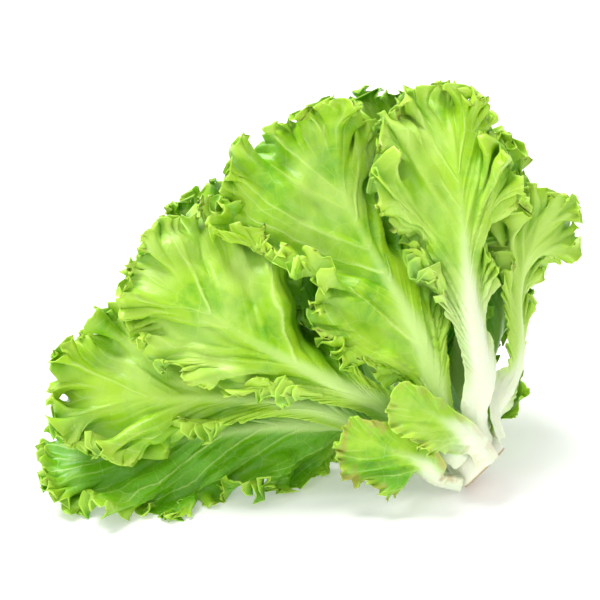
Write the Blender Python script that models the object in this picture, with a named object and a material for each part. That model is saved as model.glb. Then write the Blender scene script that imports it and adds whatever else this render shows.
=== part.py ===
"""A head of green leaf lettuce, cut at the stem and lying on its side.

The head is a short cut stem with separate ruffled leaves round it. Leaf sizes and courses are in
millimetres in the display plane: across to the right, rise up the plane, near towards the viewer.
The plane leans back by LEAN, and the points are then turned upright, +Z up, and made metres.
"""

import math
from dataclasses import dataclass

import bpy
import numpy as np
from mathutils.bvhtree import BVHTree

# Driving dimensions, in millimetres and degrees
MM = 0.001  # metres in a millimetre
LEAN = 25.0  # how far the display plane leans back from upright
FLOOR = -12.9  # the surface's height from the middle of the cut
HEAD_SHIFT = (98.3, -47.3, -FLOOR)  # from the middle of the cut to the head's own origin
STEM_AXIS = (-0.70, 0.70, -0.12)  # across, rise, near: from the cut towards the leaf tips
STEM_RADIUS = 17.0  # at the cut
STEM_LENGTH = 72.0
STEM_SIDES = 24
BLADE_HALF = 0.45  # half the blade's thickness
RIB_DEPTH = 4.0  # how far the rib stands out of the blade at the leaf's foot
RIB_HALF_WIDTH = 7.5  # at the leaf's foot
RIB_TIP_HALF_WIDTH = 1.2
FOOT_GAP = 0.5  # between a leaf's foot and the stem
FOOT_LEAD = 15.0  # how far a rib follows its own side of the stem before it turns away
FOOT_SPREAD = 0.8  # how far the lowest ribs lean out on that way; the highest follow the stem
LEAF_GAP = 2.0  # between the middles of two blades that press on each other
PRESS = 8.0  # how deep one leaf may lie in another before they settle
SETTLE_STEPS = 40
PART_STEPS = 40  # rounds that part leaves by PART_STEP where their solids still cross
PART_STEP = 0.5
FLOOR_LIFT = 0.2  # how far a blade's outer side stays above the surface, where it has no rib
HUG_SHARE = 0.16  # the share of the length where a leaf's foot stops curving round the stem
STEM_TAPER = 0.72  # how much of its radius the stem has lost at its growing tip
OUTER_GREEN = (0.33, 0.60, 0.07)
HEART_GREEN = (0.52, 0.72, 0.16)
STEM_WHITE = (0.82, 0.85, 0.64)
LEAF_ROUGHNESS = 0.42
STEM_ROUGHNESS = 0.5
SHARP_ANGLE = 50.0  # degrees between faces that aren't shaded as one
ROWS = 15  # veins on each half of a leaf, foot to tip
COLUMNS = (0.0, 0.12, 0.36, 0.62, 0.83, 1.0)  # shares of the way from the rib to the margin
LOBE = 0.09  # how far the margin's lobes stand out, as a share of the wing
LOBE_RATE = 1.2  # lobes for each wave of the margin
VEIN_FOOT_POWER = 1.25  # how the veins' feet crowd together along the rib
VEIN_END_POWER = 1.6  # and their ends along the margin
SWELL_SHARE = 0.5  # the share of the length over which a wing widens, past its neck
TIP_START = 0.72  # the share of the length where the wings begin to close
TIP_BLUNTNESS = 2.4
NOTCH_WIDTH = 0.12  # of a wing's notch, as a share of the leaf's length
HOLLOW_WIDTH = 0.1  # of a wing's hollow, as a share of its rows
BROW = 0.12  # how far the blade stands up beyond the hollow, as a share of its depth
RIB_END = 0.82  # the share of the leaf's length where the last veins fan out


@dataclass(frozen=True)
class Leaf:
    """One leaf: where it leaves the stem, the course of its rib, and how its wings lie."""

    name: str
    turn: float  # degrees round the stem: 0 faces the viewer, 90 the upper right
    height: float  # up the stem from the cut
    rib: tuple  # points (across, rise, near) after the foot, the last one at the tip
    face: tuple  # the way the outer side looks at mid-length
    face_tip: tuple  # and at the tip
    reach: tuple  # of the left and the right wing, seen from outside with the tip up
    neck: tuple  # the share of the length over which each wing stays narrow
    bend_left: tuple  # degrees the wing curls inwards at foot, middle and tip
    bend_right: tuple
    frill: float  # height of the margin's waves
    fold: float  # height of the slow folds that run from the rib to the margin
    waves: float  # waves along each margin
    seed: int
    foot: float = 6.5  # half the width where it meets the stem
    notch: tuple = (0.5, 0.0)  # where along the leaf the left wing draws in, and by what share
    hollow: tuple = (0.5, 0.0)  # which vein of the right wing dips behind, and how deep


# From the outermost leaf, lowest on the stem, to the innermost
LEAVES = (
    Leaf("leaf_foot_left", 300, 4, ((-37, 6, 28), (-60, 16, 34), (-80, 30, 34)),
         (0.0, -0.2, 0.95), (0.0, -0.2, 0.95), (26, 12), (0.1, 0.1), (20, 10, 0), (20, 0, 0), 3, 2, 3.0, 2,
         foot=8),
    Leaf("leaf_foot_right", 140, 3, ((14, 34, -26), (24, 58, -26)),
         (0.7, 0.0, -0.3), (0.8, 0.0, 0.2), (16, 16), (0.1, 0.1), (20, 0, -20), (20, 0, -20), 3, 2, 3.0, 6),
    Leaf("leaf_foot_front", 15, 3, ((-32, 33, 39), (-53, 50, 43)),
         (0.0, 0.0, 1.0), (0.0, 0.0, 1.0), (20, 9), (0.1, 0.1), (20, 0, 0), (0, 0, 0), 3, 2, 3.0, 5,
         foot=8),
    Leaf("leaf_far_low", 205, 6, ((-44, 13, -58), (-84, 23, -84), (-124, 30, -96), (-162, 39, -102)),
         (0.0, -0.73, -0.67), (-0.2, -0.6, -0.75), (54, 28), (0.1, 0.1), (30, 50, 20), (30, 40, 20),
         9, 6, 4.5, 10),
    Leaf("leaf_right_outer", 78, 7,
         ((17, 52, -6), (20, 79, -4), (20, 101, -4), (26, 124, -4), (50, 154, -4)),
         (0.75, -0.1, 0.6), (0.3, -0.1, 0.95), (30, 28), (0.5, 0.45), (-20, 50, 0), (-20, 50, -20),
         6, 4, 4.5, 7, foot=12),
    Leaf("leaf_top_front", 35, 10,
         ((-5, 44, 27), (-10, 79, 34), (-16, 124, 38), (-20, 170, 34), (-24, 219, 24)),
         (0.15, -0.1, 1.0), (0.0, 0.2, 1.0), (46, 26), (0.3, 0.25), (30, 15, -10), (40, 70, -20),
         9, 8, 4.5, 8, foot=11),
    Leaf("leaf_far_right", 160, 11, ((-8, 60, -52), (-10, 100, -62), (-12, 140, -64), (-14, 172, -58)),
         (0.3, 0.1, -0.95), (0.3, 0.0, -0.95), (42, 42), (0.1, 0.1), (30, 40, 20), (30, 40, 20),
         9, 6, 4.5, 11),
    Leaf("leaf_far_left", 235, 12, ((-70, 6, -36), (-115, 12, -46), (-160, 18, -50), (-205, 30, -50)),
         (-0.1, -0.65, -0.7), (-0.3, -0.5, -0.8), (54, 16), (0.1, 0.1), (40, 50, 30), (30, 40, 20),
         9, 6, 4.5, 9),
    Leaf("leaf_mid_front", 352, 14,
         ((-31, 44, 27), (-37, 67, 30), (-51, 96, 32), (-66, 121, 33), (-80, 150, 33), (-90, 178, 30),
          (-97, 202, 25)),
         (0.0, 0.0, 1.0), (0.0, 0.1, 0.95), (78, 38), (0.15, 0.2), (10, -10, 0), (90, 130, 20),
         9, 10, 4.5, 13, foot=10, notch=(0.62, 0.5)),
    Leaf("leaf_right_inner", 118, 15, ((7, 70, -16), (10, 105, -17), (12, 150, -16), (12, 194, -10)),
         (0.5, 0.0, 0.85), (0.3, -0.1, 0.95), (28, 20), (0.1, 0.1), (30, 30, 0), (30, 30, 0),
         8, 6, 4.5, 12),
    Leaf("leaf_left_front", 322, 19,
         ((-51, 31, 19), (-77, 46, 30), (-105, 60, 38), (-134, 76, 41), (-164, 95, 40), (-200, 116, 32)),
         (0.1, -0.1, 0.98), (-0.2, 0.1, 0.95), (38, 74), (0.3, 0.28), (20, 0, 0), (60, 50, 20),
         7, 4, 4.5, 4, foot=9, hollow=(0.42, 28)),
    Leaf("leaf_back_top", 165, 21, ((-34, 80, -50), (-46, 130, -50), (-56, 180, -40), (-65, 222, -26)),
         (0.1, 0.1, -0.95), (0.1, 0.1, -0.95), (50, 50), (0.1, 0.3), (30, 40, 20), (30, 40, 20),
         9, 6, 4.5, 15),
    Leaf("leaf_left_lower", 297, 25,
         ((-62, 24, 13), (-90, 35, 19), (-120, 40, 22), (-162, 42, 25), (-219, 42, 27), (-244, 42, 24)),
         (0.0, 0.1, 0.95), (-0.2, 0.1, 0.9), (40, 54), (0.45, 0.2), (30, 20, 0), (40, 40, 0),
         10, 5, 4.5, 3, foot=9),
    Leaf("leaf_back_left", 213, 27, ((-70, 55, -42), (-114, 88, -46), (-156, 116, -42), (-194, 140, -32)),
         (-0.3, -0.3, -0.9), (-0.4, -0.1, -0.9), (54, 60), (0.3, 0.3), (30, 40, 20), (30, 40, 20),
         9, 6, 4.5, 16),
    Leaf("leaf_left_floor", 262, 31,
         ((-88, 25, -2), (-134, 23, 3), (-180, 16, 8), (-219, 12, 11), (-253, 14, 10)),
         (0.0, 0.1, 0.95), (-0.2, 0.2, 0.95), (46, 38), (-0.1, 0.3), (0, -10, -30), (40, 20, 0),
         10, 6, 4.6, 1),
    Leaf("leaf_heart_high", 60, 36, ((-36, 88, -8), (-46, 130, -12), (-52, 170, -12)),
         (0.2, 0.1, 0.9), (0.2, 0.1, 0.9), (28, 22), (0.3, 0.1), (30, 60, 30), (30, 60, 30), 6, 5, 4.5, 17),
    Leaf("leaf_heart_low", 290, 40, ((-84, 66, -12), (-112, 98, -16), (-140, 132, -18)),
         (-0.2, -0.2, 0.9), (-0.3, -0.2, 0.9), (28, 32), (0.2, 0.3), (10, 10, 0), (20, 30, 10), 5, 4, 4.5, 18),
)


def unit(vectors):
    """The same directions with length one."""
    vectors = np.asarray(vectors, float)
    return vectors / np.linalg.norm(vectors, axis=-1, keepdims=True)


def smooth(share):
    """An even start and stop between 0 and 1."""
    share = np.clip(share, 0.0, 1.0)
    return share * share * (3.0 - 2.0 * share)


def stand(points):
    """Points of the leaning display plane, turned upright."""
    points = np.asarray(points, float)
    lean = math.radians(LEAN)
    across, rise, near = points[..., 0], points[..., 1], points[..., 2]
    back = rise * math.sin(lean) - near * math.cos(lean)
    up = rise * math.cos(lean) + near * math.sin(lean)
    return np.stack([across, back, up], axis=-1)


def stem_frame():
    """The upright stem axis, and the directions round it at turn 0 and turn 90."""
    axis = unit(stand(STEM_AXIS))
    viewer = stand((0.0, 0.0, 1.0))
    first = unit(viewer - axis * (viewer @ axis))
    return axis, first, np.cross(axis, first)


def stem_radius(height):
    """The stem tapers from just above the cut to its growing tip."""
    share = np.clip(np.asarray(height, float) / STEM_LENGTH, 0.0, 1.0)
    return STEM_RADIUS * (1.0 - STEM_TAPER * share**1.5)


def spline(points, count):
    """A smooth curve through the points, as that many evenly spaced ones."""
    points = np.asarray(points, float)
    knots = np.concatenate([[0.0], np.cumsum(np.linalg.norm(np.diff(points, axis=0), axis=1))])
    gaps = np.diff(knots)
    size = len(points)
    system, right = np.eye(size), np.zeros((size, 3))
    for k in range(1, size - 1):
        system[k, k - 1 : k + 2] = gaps[k - 1], 2.0 * (gaps[k - 1] + gaps[k]), gaps[k]
        right[k] = 3.0 * (
            (points[k + 1] - points[k]) / gaps[k] - (points[k] - points[k - 1]) / gaps[k - 1]
        )
    bend = np.linalg.solve(system, right)
    where = np.linspace(0.0, knots[-1], 8 * count)
    span = np.clip(np.searchsorted(knots, where, side="right") - 1, 0, size - 2)
    step = (where - knots[span])[:, None]
    gap = gaps[span][:, None]
    slope = (points[span + 1] - points[span]) / gap - gap * (2.0 * bend[span] + bend[span + 1]) / 3.0
    fine = (
        points[span]
        + slope * step
        + bend[span] * step**2
        + (bend[span + 1] - bend[span]) / (3.0 * gap) * step**3
    )
    run = np.concatenate([[0.0], np.cumsum(np.linalg.norm(np.diff(fine, axis=0), axis=1))])
    even = np.linspace(0.0, run[-1], count)
    return np.stack([np.interp(even, run, fine[:, k]) for k in range(3)], axis=1), run[-1]


class Course:
    """A leaf's rib in space: its line, its direction, and the way its outer side looks."""

    SAMPLES = 160

    def __init__(self, leaf):
        axis, first, second = stem_frame()
        turn = math.radians(leaf.turn)
        outward = math.cos(turn) * first + math.sin(turn) * second
        self.foot_radius = float(stem_radius(leaf.height)) + FOOT_GAP + BLADE_HALF
        foot = axis * leaf.height + outward * self.foot_radius
        spread = FOOT_SPREAD * (1.0 - leaf.height / STEM_LENGTH)
        lead = foot + FOOT_LEAD * unit(axis + spread * outward)
        self.points, self.length = spline([foot, lead, *stand(leaf.rib)], self.SAMPLES)
        self.along = unit(np.gradient(self.points, axis=0))
        share = np.linspace(0.0, 1.0, self.SAMPLES)[:, None]
        middle, tip = unit(stand(leaf.face)), unit(stand(leaf.face_tip))
        face = np.where(
            share < 0.5,
            outward + (middle - outward) * smooth(2.0 * share),
            middle + (tip - middle) * smooth(2.0 * share - 1.0),
        )
        self.face = unit(face - self.along * (face * self.along).sum(1, keepdims=True))
        self.side = np.cross(self.face, self.along)

    def at(self, table, run):
        """A table of the course read at distances along it."""
        share = np.clip(run / self.length, 0.0, 1.0) * (self.SAMPLES - 1)
        low = np.minimum(share.astype(int), self.SAMPLES - 2)
        part = (share - low)[..., None]
        return table[low] * (1.0 - part) + table[low + 1] * part


def half_width(share, leaf, left):
    """The blade's half width along its length."""
    reach, neck = (pair[0 if left else 1] for pair in (leaf.reach, leaf.neck))
    foot = min(leaf.foot, 0.5 * reach)
    swell = foot + (reach - foot) * smooth((share - neck) / SWELL_SHARE)
    if left:
        place, depth = leaf.notch
        swell = swell * (1.0 - depth * np.exp(-(((share - place) / NOTCH_WIDTH) ** 2)))
    close = np.clip((share - TIP_START) / (1.0 - TIP_START), 0.0, 1.0)
    return swell * np.sqrt(np.clip(1.0 - close**TIP_BLUNTNESS, 0.0, 1.0))


def through(values, share):
    """A quantity given at the foot, the middle and the tip, in between them."""
    foot, middle, tip = values
    return (
        foot * 2.0 * (share - 0.5) * (share - 1.0)
        + middle * 4.0 * share * (1.0 - share)
        + tip * 2.0 * share * (share - 0.5)
    )


def wave(leaf, around, column):
    """The blade's rise and fall, and how far its lobes stand out, as a share of the wing.

    around runs 0 to 1 up the left margin and to 2 down the right.
    """
    first, second, third = np.random.default_rng(leaf.seed).random(3)
    turns = leaf.waves * around + 0.3 * np.sin(2 * math.pi * (0.9 * around + first)) + second
    frill = leaf.frill * np.sin(2 * math.pi * turns) * column**2
    fold = leaf.fold * np.sin(2 * math.pi * (1.4 * around + third)) * column**1.2
    lobes = 1.0 + LOBE * np.sin(2 * math.pi * (LOBE_RATE * turns + third)) * column**2
    return frill + fold, lobes


def wing(leaf, course, left, rows, columns, size=1.0):
    """Points of one half of a leaf, rows by columns, from the rib to the margin."""
    row = np.asarray(rows, float)[:, None]
    column = np.asarray(columns, float)[None, :]
    reach, neck = (pair[0 if left else 1] for pair in (leaf.reach, leaf.neck))
    bends = leaf.bend_left if left else leaf.bend_right
    around = row if left else 2.0 - row
    rise, lobes = wave(leaf, around, column)
    start = RIB_END * (1.0 - (1.0 - row) ** VEIN_FOOT_POWER)
    end = 1.0 - (1.0 - row) ** VEIN_END_POWER
    share = start + (end - start) * column
    run = share * course.length
    out = size * half_width(end, leaf, left) * column * lobes
    hug = 1.0 / course.foot_radius
    curl = np.radians(through(bends, share)) / reach
    curl = hug + (curl - hug) * smooth(share / HUG_SHARE)
    angle = curl * out
    small = np.where(np.abs(angle) < 1e-6, 1e-6, angle)
    side = course.at(course.side, run) * (1.0 if left else -1.0)
    face = course.at(course.face, run)
    across = (out * np.sin(small) / small)[..., None]
    inward = (out * (1.0 - np.cos(small)) / small)[..., None]
    points = course.at(course.points, run) + side * across - face * inward
    normal = side * np.sin(angle)[..., None] + face * np.cos(angle)[..., None]
    if not left:
        place, depth = leaf.hollow
        away = (row - place) / HOLLOW_WIDTH
        dip = np.exp(-(away**2)) - BROW * np.exp(-((away - 2.0) ** 2))
        rise = rise - depth * dip * smooth(column / 0.5)
    height = size * smooth((row - 0.5 * neck) / 0.3) * rise
    return points + normal * height[..., None], rib_depth(share, out)


def rib_depth(share, out):
    """How far the rib stands out of the blade's outer side."""
    left = np.clip(1.0 - share, 0.0, 1.0)
    width = RIB_TIP_HALF_WIDTH + RIB_HALF_WIDTH * left**1.3
    return RIB_DEPTH * left**1.4 * np.exp(-((out / width) ** 2))


def leaf_grid(rows, columns):
    """Indices of a leaf's two halves, which share the rib and the tip's vein, and its triangles."""
    left = np.arange(rows * columns).reshape(rows, columns)
    right = np.empty_like(left)
    right[:, 0], right[-1] = left[:, 0], left[-1]
    right[:-1, 1:] = left.size + np.arange((rows - 1) * (columns - 1)).reshape(rows - 1, columns - 1)
    faces = []
    for grid, flip in ((left, False), (right, True)):
        for i in range(rows - 1):
            for j in range(columns - 1):
                a, b, c, d = grid[i, j], grid[i + 1, j], grid[i + 1, j + 1], grid[i, j + 1]
                pair = [(a, b, d), (b, c, d)] if i == rows - 2 else [(a, b, c), (a, c, d)]
                faces += [t[::-1] for t in pair] if flip else pair
    return left, right, np.array(faces)


def leaf_points(leaf, course, rows, columns, size=1.0):
    """A leaf's middle surface as one list of points, with the rib's depth at each."""
    left, rib_left = wing(leaf, course, True, rows, columns, size)
    right, rib_right = wing(leaf, course, False, rows, columns, size)
    points = np.concatenate([left.reshape(-1, 3), right[:-1, 1:].reshape(-1, 3)])
    return points, np.concatenate([rib_left.ravel(), rib_right[:-1, 1:].ravel()])


def point_normals(points, faces):
    """The outward direction at each point."""
    corners = points[faces]
    across = np.cross(corners[:, 1] - corners[:, 0], corners[:, 2] - corners[:, 0])
    total = np.zeros_like(points)
    for k in range(3):
        np.add.at(total, faces[:, k], across)
    return unit(total)


class Crowd:
    """Leaves that grow out from their ribs and press on each other until none of them cross."""

    def __init__(self, leaves, rows, columns, faces):
        self.leaves, self.rows, self.columns, self.faces = leaves, rows, columns, faces
        self.courses = [Course(leaf) for leaf in leaves]
        self.grow(1.0)
        count = len(self.sheets[0])
        links = np.zeros((count, count))
        for k in range(3):
            links[faces[:, k], faces[:, (k + 1) % 3]] = 1.0
            links[faces[:, (k + 1) % 3], faces[:, k]] = 1.0
        self.even = links / links.sum(1, keepdims=True)
        pairs = np.argwhere(np.triu(links))
        ends = np.zeros((len(pairs), count))
        ends[np.arange(len(pairs)), pairs[:, 0]] = ends[np.arange(len(pairs)), pairs[:, 1]] = 1.0
        middles = np.zeros((len(faces), count))
        for k in range(3):
            middles[np.arange(len(faces)), faces[:, k]] = 1.0 / 3.0
        self.samples = np.concatenate([np.eye(count), middles, 0.5 * ends])
        self.moves = [np.zeros_like(s) for s in self.sheets]
        self.axis = stem_frame()[0]

    def grow(self, size):
        """The leaves as they lie by themselves, their wings grown to a share of their reach."""
        built = [
            leaf_points(leaf, course, self.rows, self.columns, size)
            for leaf, course in zip(self.leaves, self.courses)
        ]
        self.sheets = [points for points, _ in built]
        self.ribs = [rib for _, rib in built]

    def press(self, a, b):
        """Parts leaf a from leaf b where a comes too near or has crossed over."""
        points = self.samples @ self.now[a]
        low, high = self.now[b].min(0) - LEAF_GAP, self.now[b].max(0) + LEAF_GAP
        index = np.nonzero(((points > low) & (points < high)).all(1))[0]
        hits = [self.trees[b].find_nearest(points[k], PRESS) for k in index]
        found = [k for k, hit in enumerate(hits) if hit[0] is not None]
        if not found:
            return
        index = index[found]
        near = np.array([hits[k][0] for k in found])
        normal = np.array([hits[k][1] for k in found])
        face = self.faces[[hits[k][2] for k in found]]
        distance = np.array([hits[k][3] for k in found])
        inside = self.leaves[a].height > self.leaves[b].height
        facing = ((self.samples @ self.normals[a])[index] * normal).sum(1)
        side = np.where((facing < 0.0) | inside, -1.0, 1.0)
        offset = points[index] - near
        height = (offset * normal).sum(1) * side
        aside = np.sqrt(np.clip(distance**2 - height**2, 0.0, None))
        rib = np.where(side > 0, self.ribs[b][face].mean(1), (self.samples @ self.ribs[a])[index])
        need = LEAF_GAP + np.where(facing < 0.0, 0.0, rib)
        beside = aside > 0.6 + 0.35 * np.abs(height)
        way = np.where(
            beside[:, None],
            offset / np.maximum(distance, 1e-6)[:, None] * (need - distance)[:, None],
            normal * (side * (need - height))[:, None],
        )
        close = np.where(beside, distance < need, height < need)
        index, face, way = index[close], face[close], 0.5 * way[close]
        share = self.samples[index]
        self.push[a] += share.T @ way
        self.weight[a] += share.sum(0)
        for k in range(3):
            np.add.at(self.push[b], face[:, k], -way / 3.0)
            np.add.at(self.weight[b], face[:, k], 1.0 / 3.0)

    def clear_stem(self, a):
        """Keeps a leaf off the stem and above the surface."""
        sheet = self.sheets[a] + self.moves[a]
        height = sheet @ self.axis
        outward = sheet - height[:, None] * self.axis
        radius = np.linalg.norm(outward, axis=1)
        by_stem = (height > -2.0) & (height < STEM_LENGTH + 2.0)
        need = np.where(by_stem, stem_radius(height) + FOOT_GAP + BLADE_HALF, 0.0)
        lack = np.clip(need - radius, 0.0, None) / np.maximum(radius, 1e-6)
        self.moves[a] += outward * lack[:, None]
        sheet = self.sheets[a] + self.moves[a]
        self.moves[a][:, 2] += np.clip(FLOOR + BLADE_HALF + FLOOR_LIFT - sheet[:, 2], 0.0, None)

    def step(self, spread):
        """One round of pressing apart."""
        count = len(self.leaves)
        self.now = [s + m for s, m in zip(self.sheets, self.moves)]
        self.normals = [point_normals(s, self.faces) for s in self.now]
        self.trees = [BVHTree.FromPolygons(s.tolist(), self.faces.tolist()) for s in self.now]
        self.push = [np.zeros_like(s) for s in self.now]
        self.weight = [np.zeros(len(s)) for s in self.now]
        for a in range(count):
            for b in range(count):
                if a != b:
                    self.press(a, b)
        for a in range(count):
            self.moves[a] += self.push[a] / np.maximum(self.weight[a], 0.5)[:, None]
            for _ in range(spread):
                self.moves[a] = 0.5 * self.moves[a] + 0.5 * self.even @ self.moves[a]
            self.clear_stem(a)

    def part_solids(self):
        """Parts the leaves that still cross once they have their thickness. Returns how many do."""
        sheets = [s + m for s, m in zip(self.sheets, self.moves)]
        solids = [solid_leaf(s, r, self.faces) for s, r in zip(sheets, self.ribs)]
        trees = [BVHTree.FromPolygons(p.tolist(), t) for p, t in solids]
        half = len(self.faces)
        push = [np.zeros_like(s) for s in sheets]
        crossed = 0
        normals = [face_normals(s, self.faces) for s in sheets]
        for a in range(len(sheets)):
            for b in range(a):
                pairs = [
                    (i % half, j % half)
                    for i, j in trees[a].overlap(trees[b])
                    if i < 2 * half and j < 2 * half
                ]
                if not pairs:
                    continue
                crossed += 1
                inside = self.leaves[a].height > self.leaves[b].height
                for i, j in sorted(set(pairs)):
                    facing = normals[a][i] @ normals[b][j] < 0.0
                    a_side = -1.0 if facing or inside else 1.0
                    b_side = -1.0 if facing or not inside else 1.0
                    way = a_side * normals[b][j] - b_side * normals[a][i]
                    push[a][self.faces[i]] += way
                    push[b][self.faces[j]] -= way
        for a, total in enumerate(push):
            size = np.linalg.norm(total, axis=1, keepdims=True)
            move = total / np.maximum(size, 1.0) * PART_STEP
            self.moves[a] += 0.6 * move + 0.4 * self.even @ move
            self.clear_stem(a)
        return crossed

    def settle(self):
        """The leaves' points once they have settled."""
        for k in range(SETTLE_STEPS):
            share = (k + 1) / SETTLE_STEPS
            self.grow(min(1.0, 0.2 + 1.2 * share))
            self.step(1 if share < 0.8 else 0)
        for _ in range(PART_STEPS):
            if not self.part_solids():
                break
        return [s + m for s, m in zip(self.sheets, self.moves)]


def face_normals(points, faces):
    """The outward direction of each triangle."""
    corners = points[faces]
    return unit(np.cross(corners[:, 1] - corners[:, 0], corners[:, 2] - corners[:, 0]))


def solid_leaf(points, rib, faces):
    """A closed blade: its outer and inner side split alike, joined round the margin.

    A rib that would reach below the surface is pressed flat on it.
    """
    normals = point_normals(points, faces)
    outer = points + normals * (BLADE_HALF + rib)[:, None]
    inner = points - normals * BLADE_HALF
    for side in (outer, inner):
        side[:, 2] = np.maximum(side[:, 2], FLOOR)
    count = len(points)
    edges = {(a, b) for t in faces.tolist() for a, b in zip(t, t[1:] + t[:1])}
    rim = [(a, b) for a, b in edges if (b, a) not in edges]
    triangles = [tuple(t) for t in faces.tolist()]
    triangles += [(c + count, b + count, a + count) for a, b, c in faces.tolist()]
    for a, b in sorted(rim):
        triangles += [(b, a, a + count), (b, a + count, b + count)]
    return np.concatenate([outer, inner]), triangles


def material(name, colour, roughness):
    """A plain finish in the piece's own colour."""
    made = bpy.data.materials.new(name)
    made.use_nodes = True
    shader = made.node_tree.nodes["Principled BSDF"]
    shader.inputs["Base Color"].default_value = (*colour, 1.0)
    shader.inputs["Roughness"].default_value = roughness
    shader.inputs["Metallic"].default_value = 0.0
    made.diffuse_color = (*colour, 1.0)
    return made


def leaf_finish(leaf):
    """The leaf's own green: outer leaves are deeper, those near the heart paler and yellower."""
    share = leaf.height / STEM_LENGTH
    colour = [outer + (heart - outer) * share for outer, heart in zip(OUTER_GREEN, HEART_GREEN)]
    return material(f"{leaf.name}_green", colour, LEAF_ROUGHNESS)


def add_object(name, points, faces, finish):
    """A mesh object in metres, moved to the head's own origin."""
    mesh = bpy.data.meshes.new(name)
    mesh.from_pydata(((points + HEAD_SHIFT) * MM).tolist(), [], faces)
    mesh.materials.append(finish)
    mesh.shade_smooth()
    mesh.set_sharp_from_angle(angle=math.radians(SHARP_ANGLE))
    obj = bpy.data.objects.new(name, mesh)
    bpy.context.scene.collection.objects.link(obj)
    return obj


def stem_solid():
    """The cut stem as rings round its axis, with a flat cut and a rounded tip."""
    axis, first, second = stem_frame()
    heights = STEM_LENGTH * np.array([0.0, 0.04, 0.25, 0.5, 0.72, 0.88, 0.97])
    inset = np.array([0.94, 1.0, 1.0, 1.0, 1.0, 0.92, 0.6])
    angles = np.linspace(0.0, 2.0 * math.pi, STEM_SIDES, endpoint=False)
    ring = np.cos(angles)[:, None] * first + np.sin(angles)[:, None] * second
    rings = [
        axis * h + ring * (float(stem_radius(h)) - FOOT_GAP * 0.5) * k for h, k in zip(heights, inset)
    ]
    points = np.concatenate([*rings, [axis * 0.0], [axis * STEM_LENGTH]])
    faces = []
    cut, tip = len(points) - 2, len(points) - 1
    for k in range(STEM_SIDES):
        after = (k + 1) % STEM_SIDES
        faces.append((cut, after, k))
        last = (len(heights) - 1) * STEM_SIDES
        faces.append((tip, last + k, last + after))
        for level in range(len(heights) - 1):
            low, high = level * STEM_SIDES, (level + 1) * STEM_SIDES
            faces.append((low + k, low + after, high + after))
            faces.append((low + k, high + after, high + k))
    return points, faces


def clear_scene():
    """Removes the objects that the scene starts with."""
    for obj in list(bpy.data.objects):
        bpy.data.objects.remove(obj)


def settled_leaves():
    """Each leaf's points, its rib's depth, and the triangles that all leaves share."""
    rows = np.linspace(0.0, 1.0, ROWS + 1)
    faces = leaf_grid(ROWS + 1, len(COLUMNS))[2]
    crowd = Crowd(LEAVES, rows, COLUMNS, faces)
    return crowd.settle(), crowd.ribs, faces


def main():
    """Builds the stem and the leaves."""
    clear_scene()
    add_object("stem", *stem_solid(), material("stem_white", STEM_WHITE, STEM_ROUGHNESS))
    sheets, ribs, faces = settled_leaves()
    for leaf, points, rib in zip(LEAVES, sheets, ribs):
        add_object(leaf.name, *solid_leaf(points, rib, faces), leaf_finish(leaf))


if __name__ == "__main__":
    main()
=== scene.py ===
"""The looks of a head of green leaf lettuce that lies on its side.

The head is a short cut stem with separate leaves round it. Each leaf is grown again from the course
of its solid and settled among the others in the same way. Its surface is then read on a much finer
grid, which takes the ruffles, the teeth, the puckers between the veins and the ribs. Sizes are in
millimetres in the display plane: across to the right, rise up the plane, near towards the viewer.
The plane leans back from upright, and points are turned upright, +Z up, and made metres at the end.
"""

import logging
import math
from dataclasses import dataclass
from enum import Enum, IntEnum
from typing import Callable

import bpy
import numpy as np
from mathutils import Matrix, Vector
from mathutils.bvhtree import BVHTree


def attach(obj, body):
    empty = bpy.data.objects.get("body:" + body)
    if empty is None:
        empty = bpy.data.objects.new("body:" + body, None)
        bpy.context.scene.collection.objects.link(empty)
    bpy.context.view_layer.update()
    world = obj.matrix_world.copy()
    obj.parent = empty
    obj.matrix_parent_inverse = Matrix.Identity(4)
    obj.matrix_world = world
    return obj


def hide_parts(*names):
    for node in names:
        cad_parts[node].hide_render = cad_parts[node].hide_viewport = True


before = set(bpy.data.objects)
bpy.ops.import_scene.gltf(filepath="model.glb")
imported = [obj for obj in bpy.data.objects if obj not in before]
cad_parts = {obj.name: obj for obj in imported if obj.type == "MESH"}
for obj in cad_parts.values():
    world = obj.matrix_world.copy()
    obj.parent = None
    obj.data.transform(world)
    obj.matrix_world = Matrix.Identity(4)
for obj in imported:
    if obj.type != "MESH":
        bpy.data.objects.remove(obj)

Array = np.ndarray
Pair = tuple[float, float]
Triple = tuple[float, float, float]

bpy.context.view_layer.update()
LOG = logging.getLogger("lettuce")
MM = 0.001  # metres in a millimetre
TURN = 2.0 * math.pi
GOLDEN = 3.0 - math.sqrt(5.0)  # half turns between directions that spread evenly over a ball
TINY = 1e-6
DRIFT_WAVES = ((1.0, 0.5), (1.73, 0.32), (2.91, 0.18))  # rate and weight of each
IMAGE_SIDE = 600  # pixels along each side of the picture
CUT_PIXEL = (485, 468)  # where the picture shows the middle of the cut
PIXEL = 0.57  # millimetres that a pixel shows at the cut


def unit(vectors: Array) -> Array:
    """The same directions with length one."""
    vectors = np.asarray(vectors, float)
    return vectors / np.maximum(np.linalg.norm(vectors, axis=-1, keepdims=True), 1e-12)


def smooth(share: Array) -> Array:
    """An even start and stop between 0 and 1."""
    share = np.clip(share, 0.0, 1.0)
    return share * share * (3.0 - 2.0 * share)


def ease(value: Array, window: Pair) -> Array:
    """An even rise from 0 to 1 over a window, given as its start and its length."""
    start, length = window
    return smooth((value - start) / length)


def through(values: Triple, share: Array) -> Array:
    """A quantity given at the foot, the middle and the tip, in between them."""
    foot, middle, tip = values
    return (
        foot * 2.0 * (share - 0.5) * (share - 1.0)
        + middle * 4.0 * share * (1.0 - share)
        + tip * 2.0 * share * (share - 0.5)
    )


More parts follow.
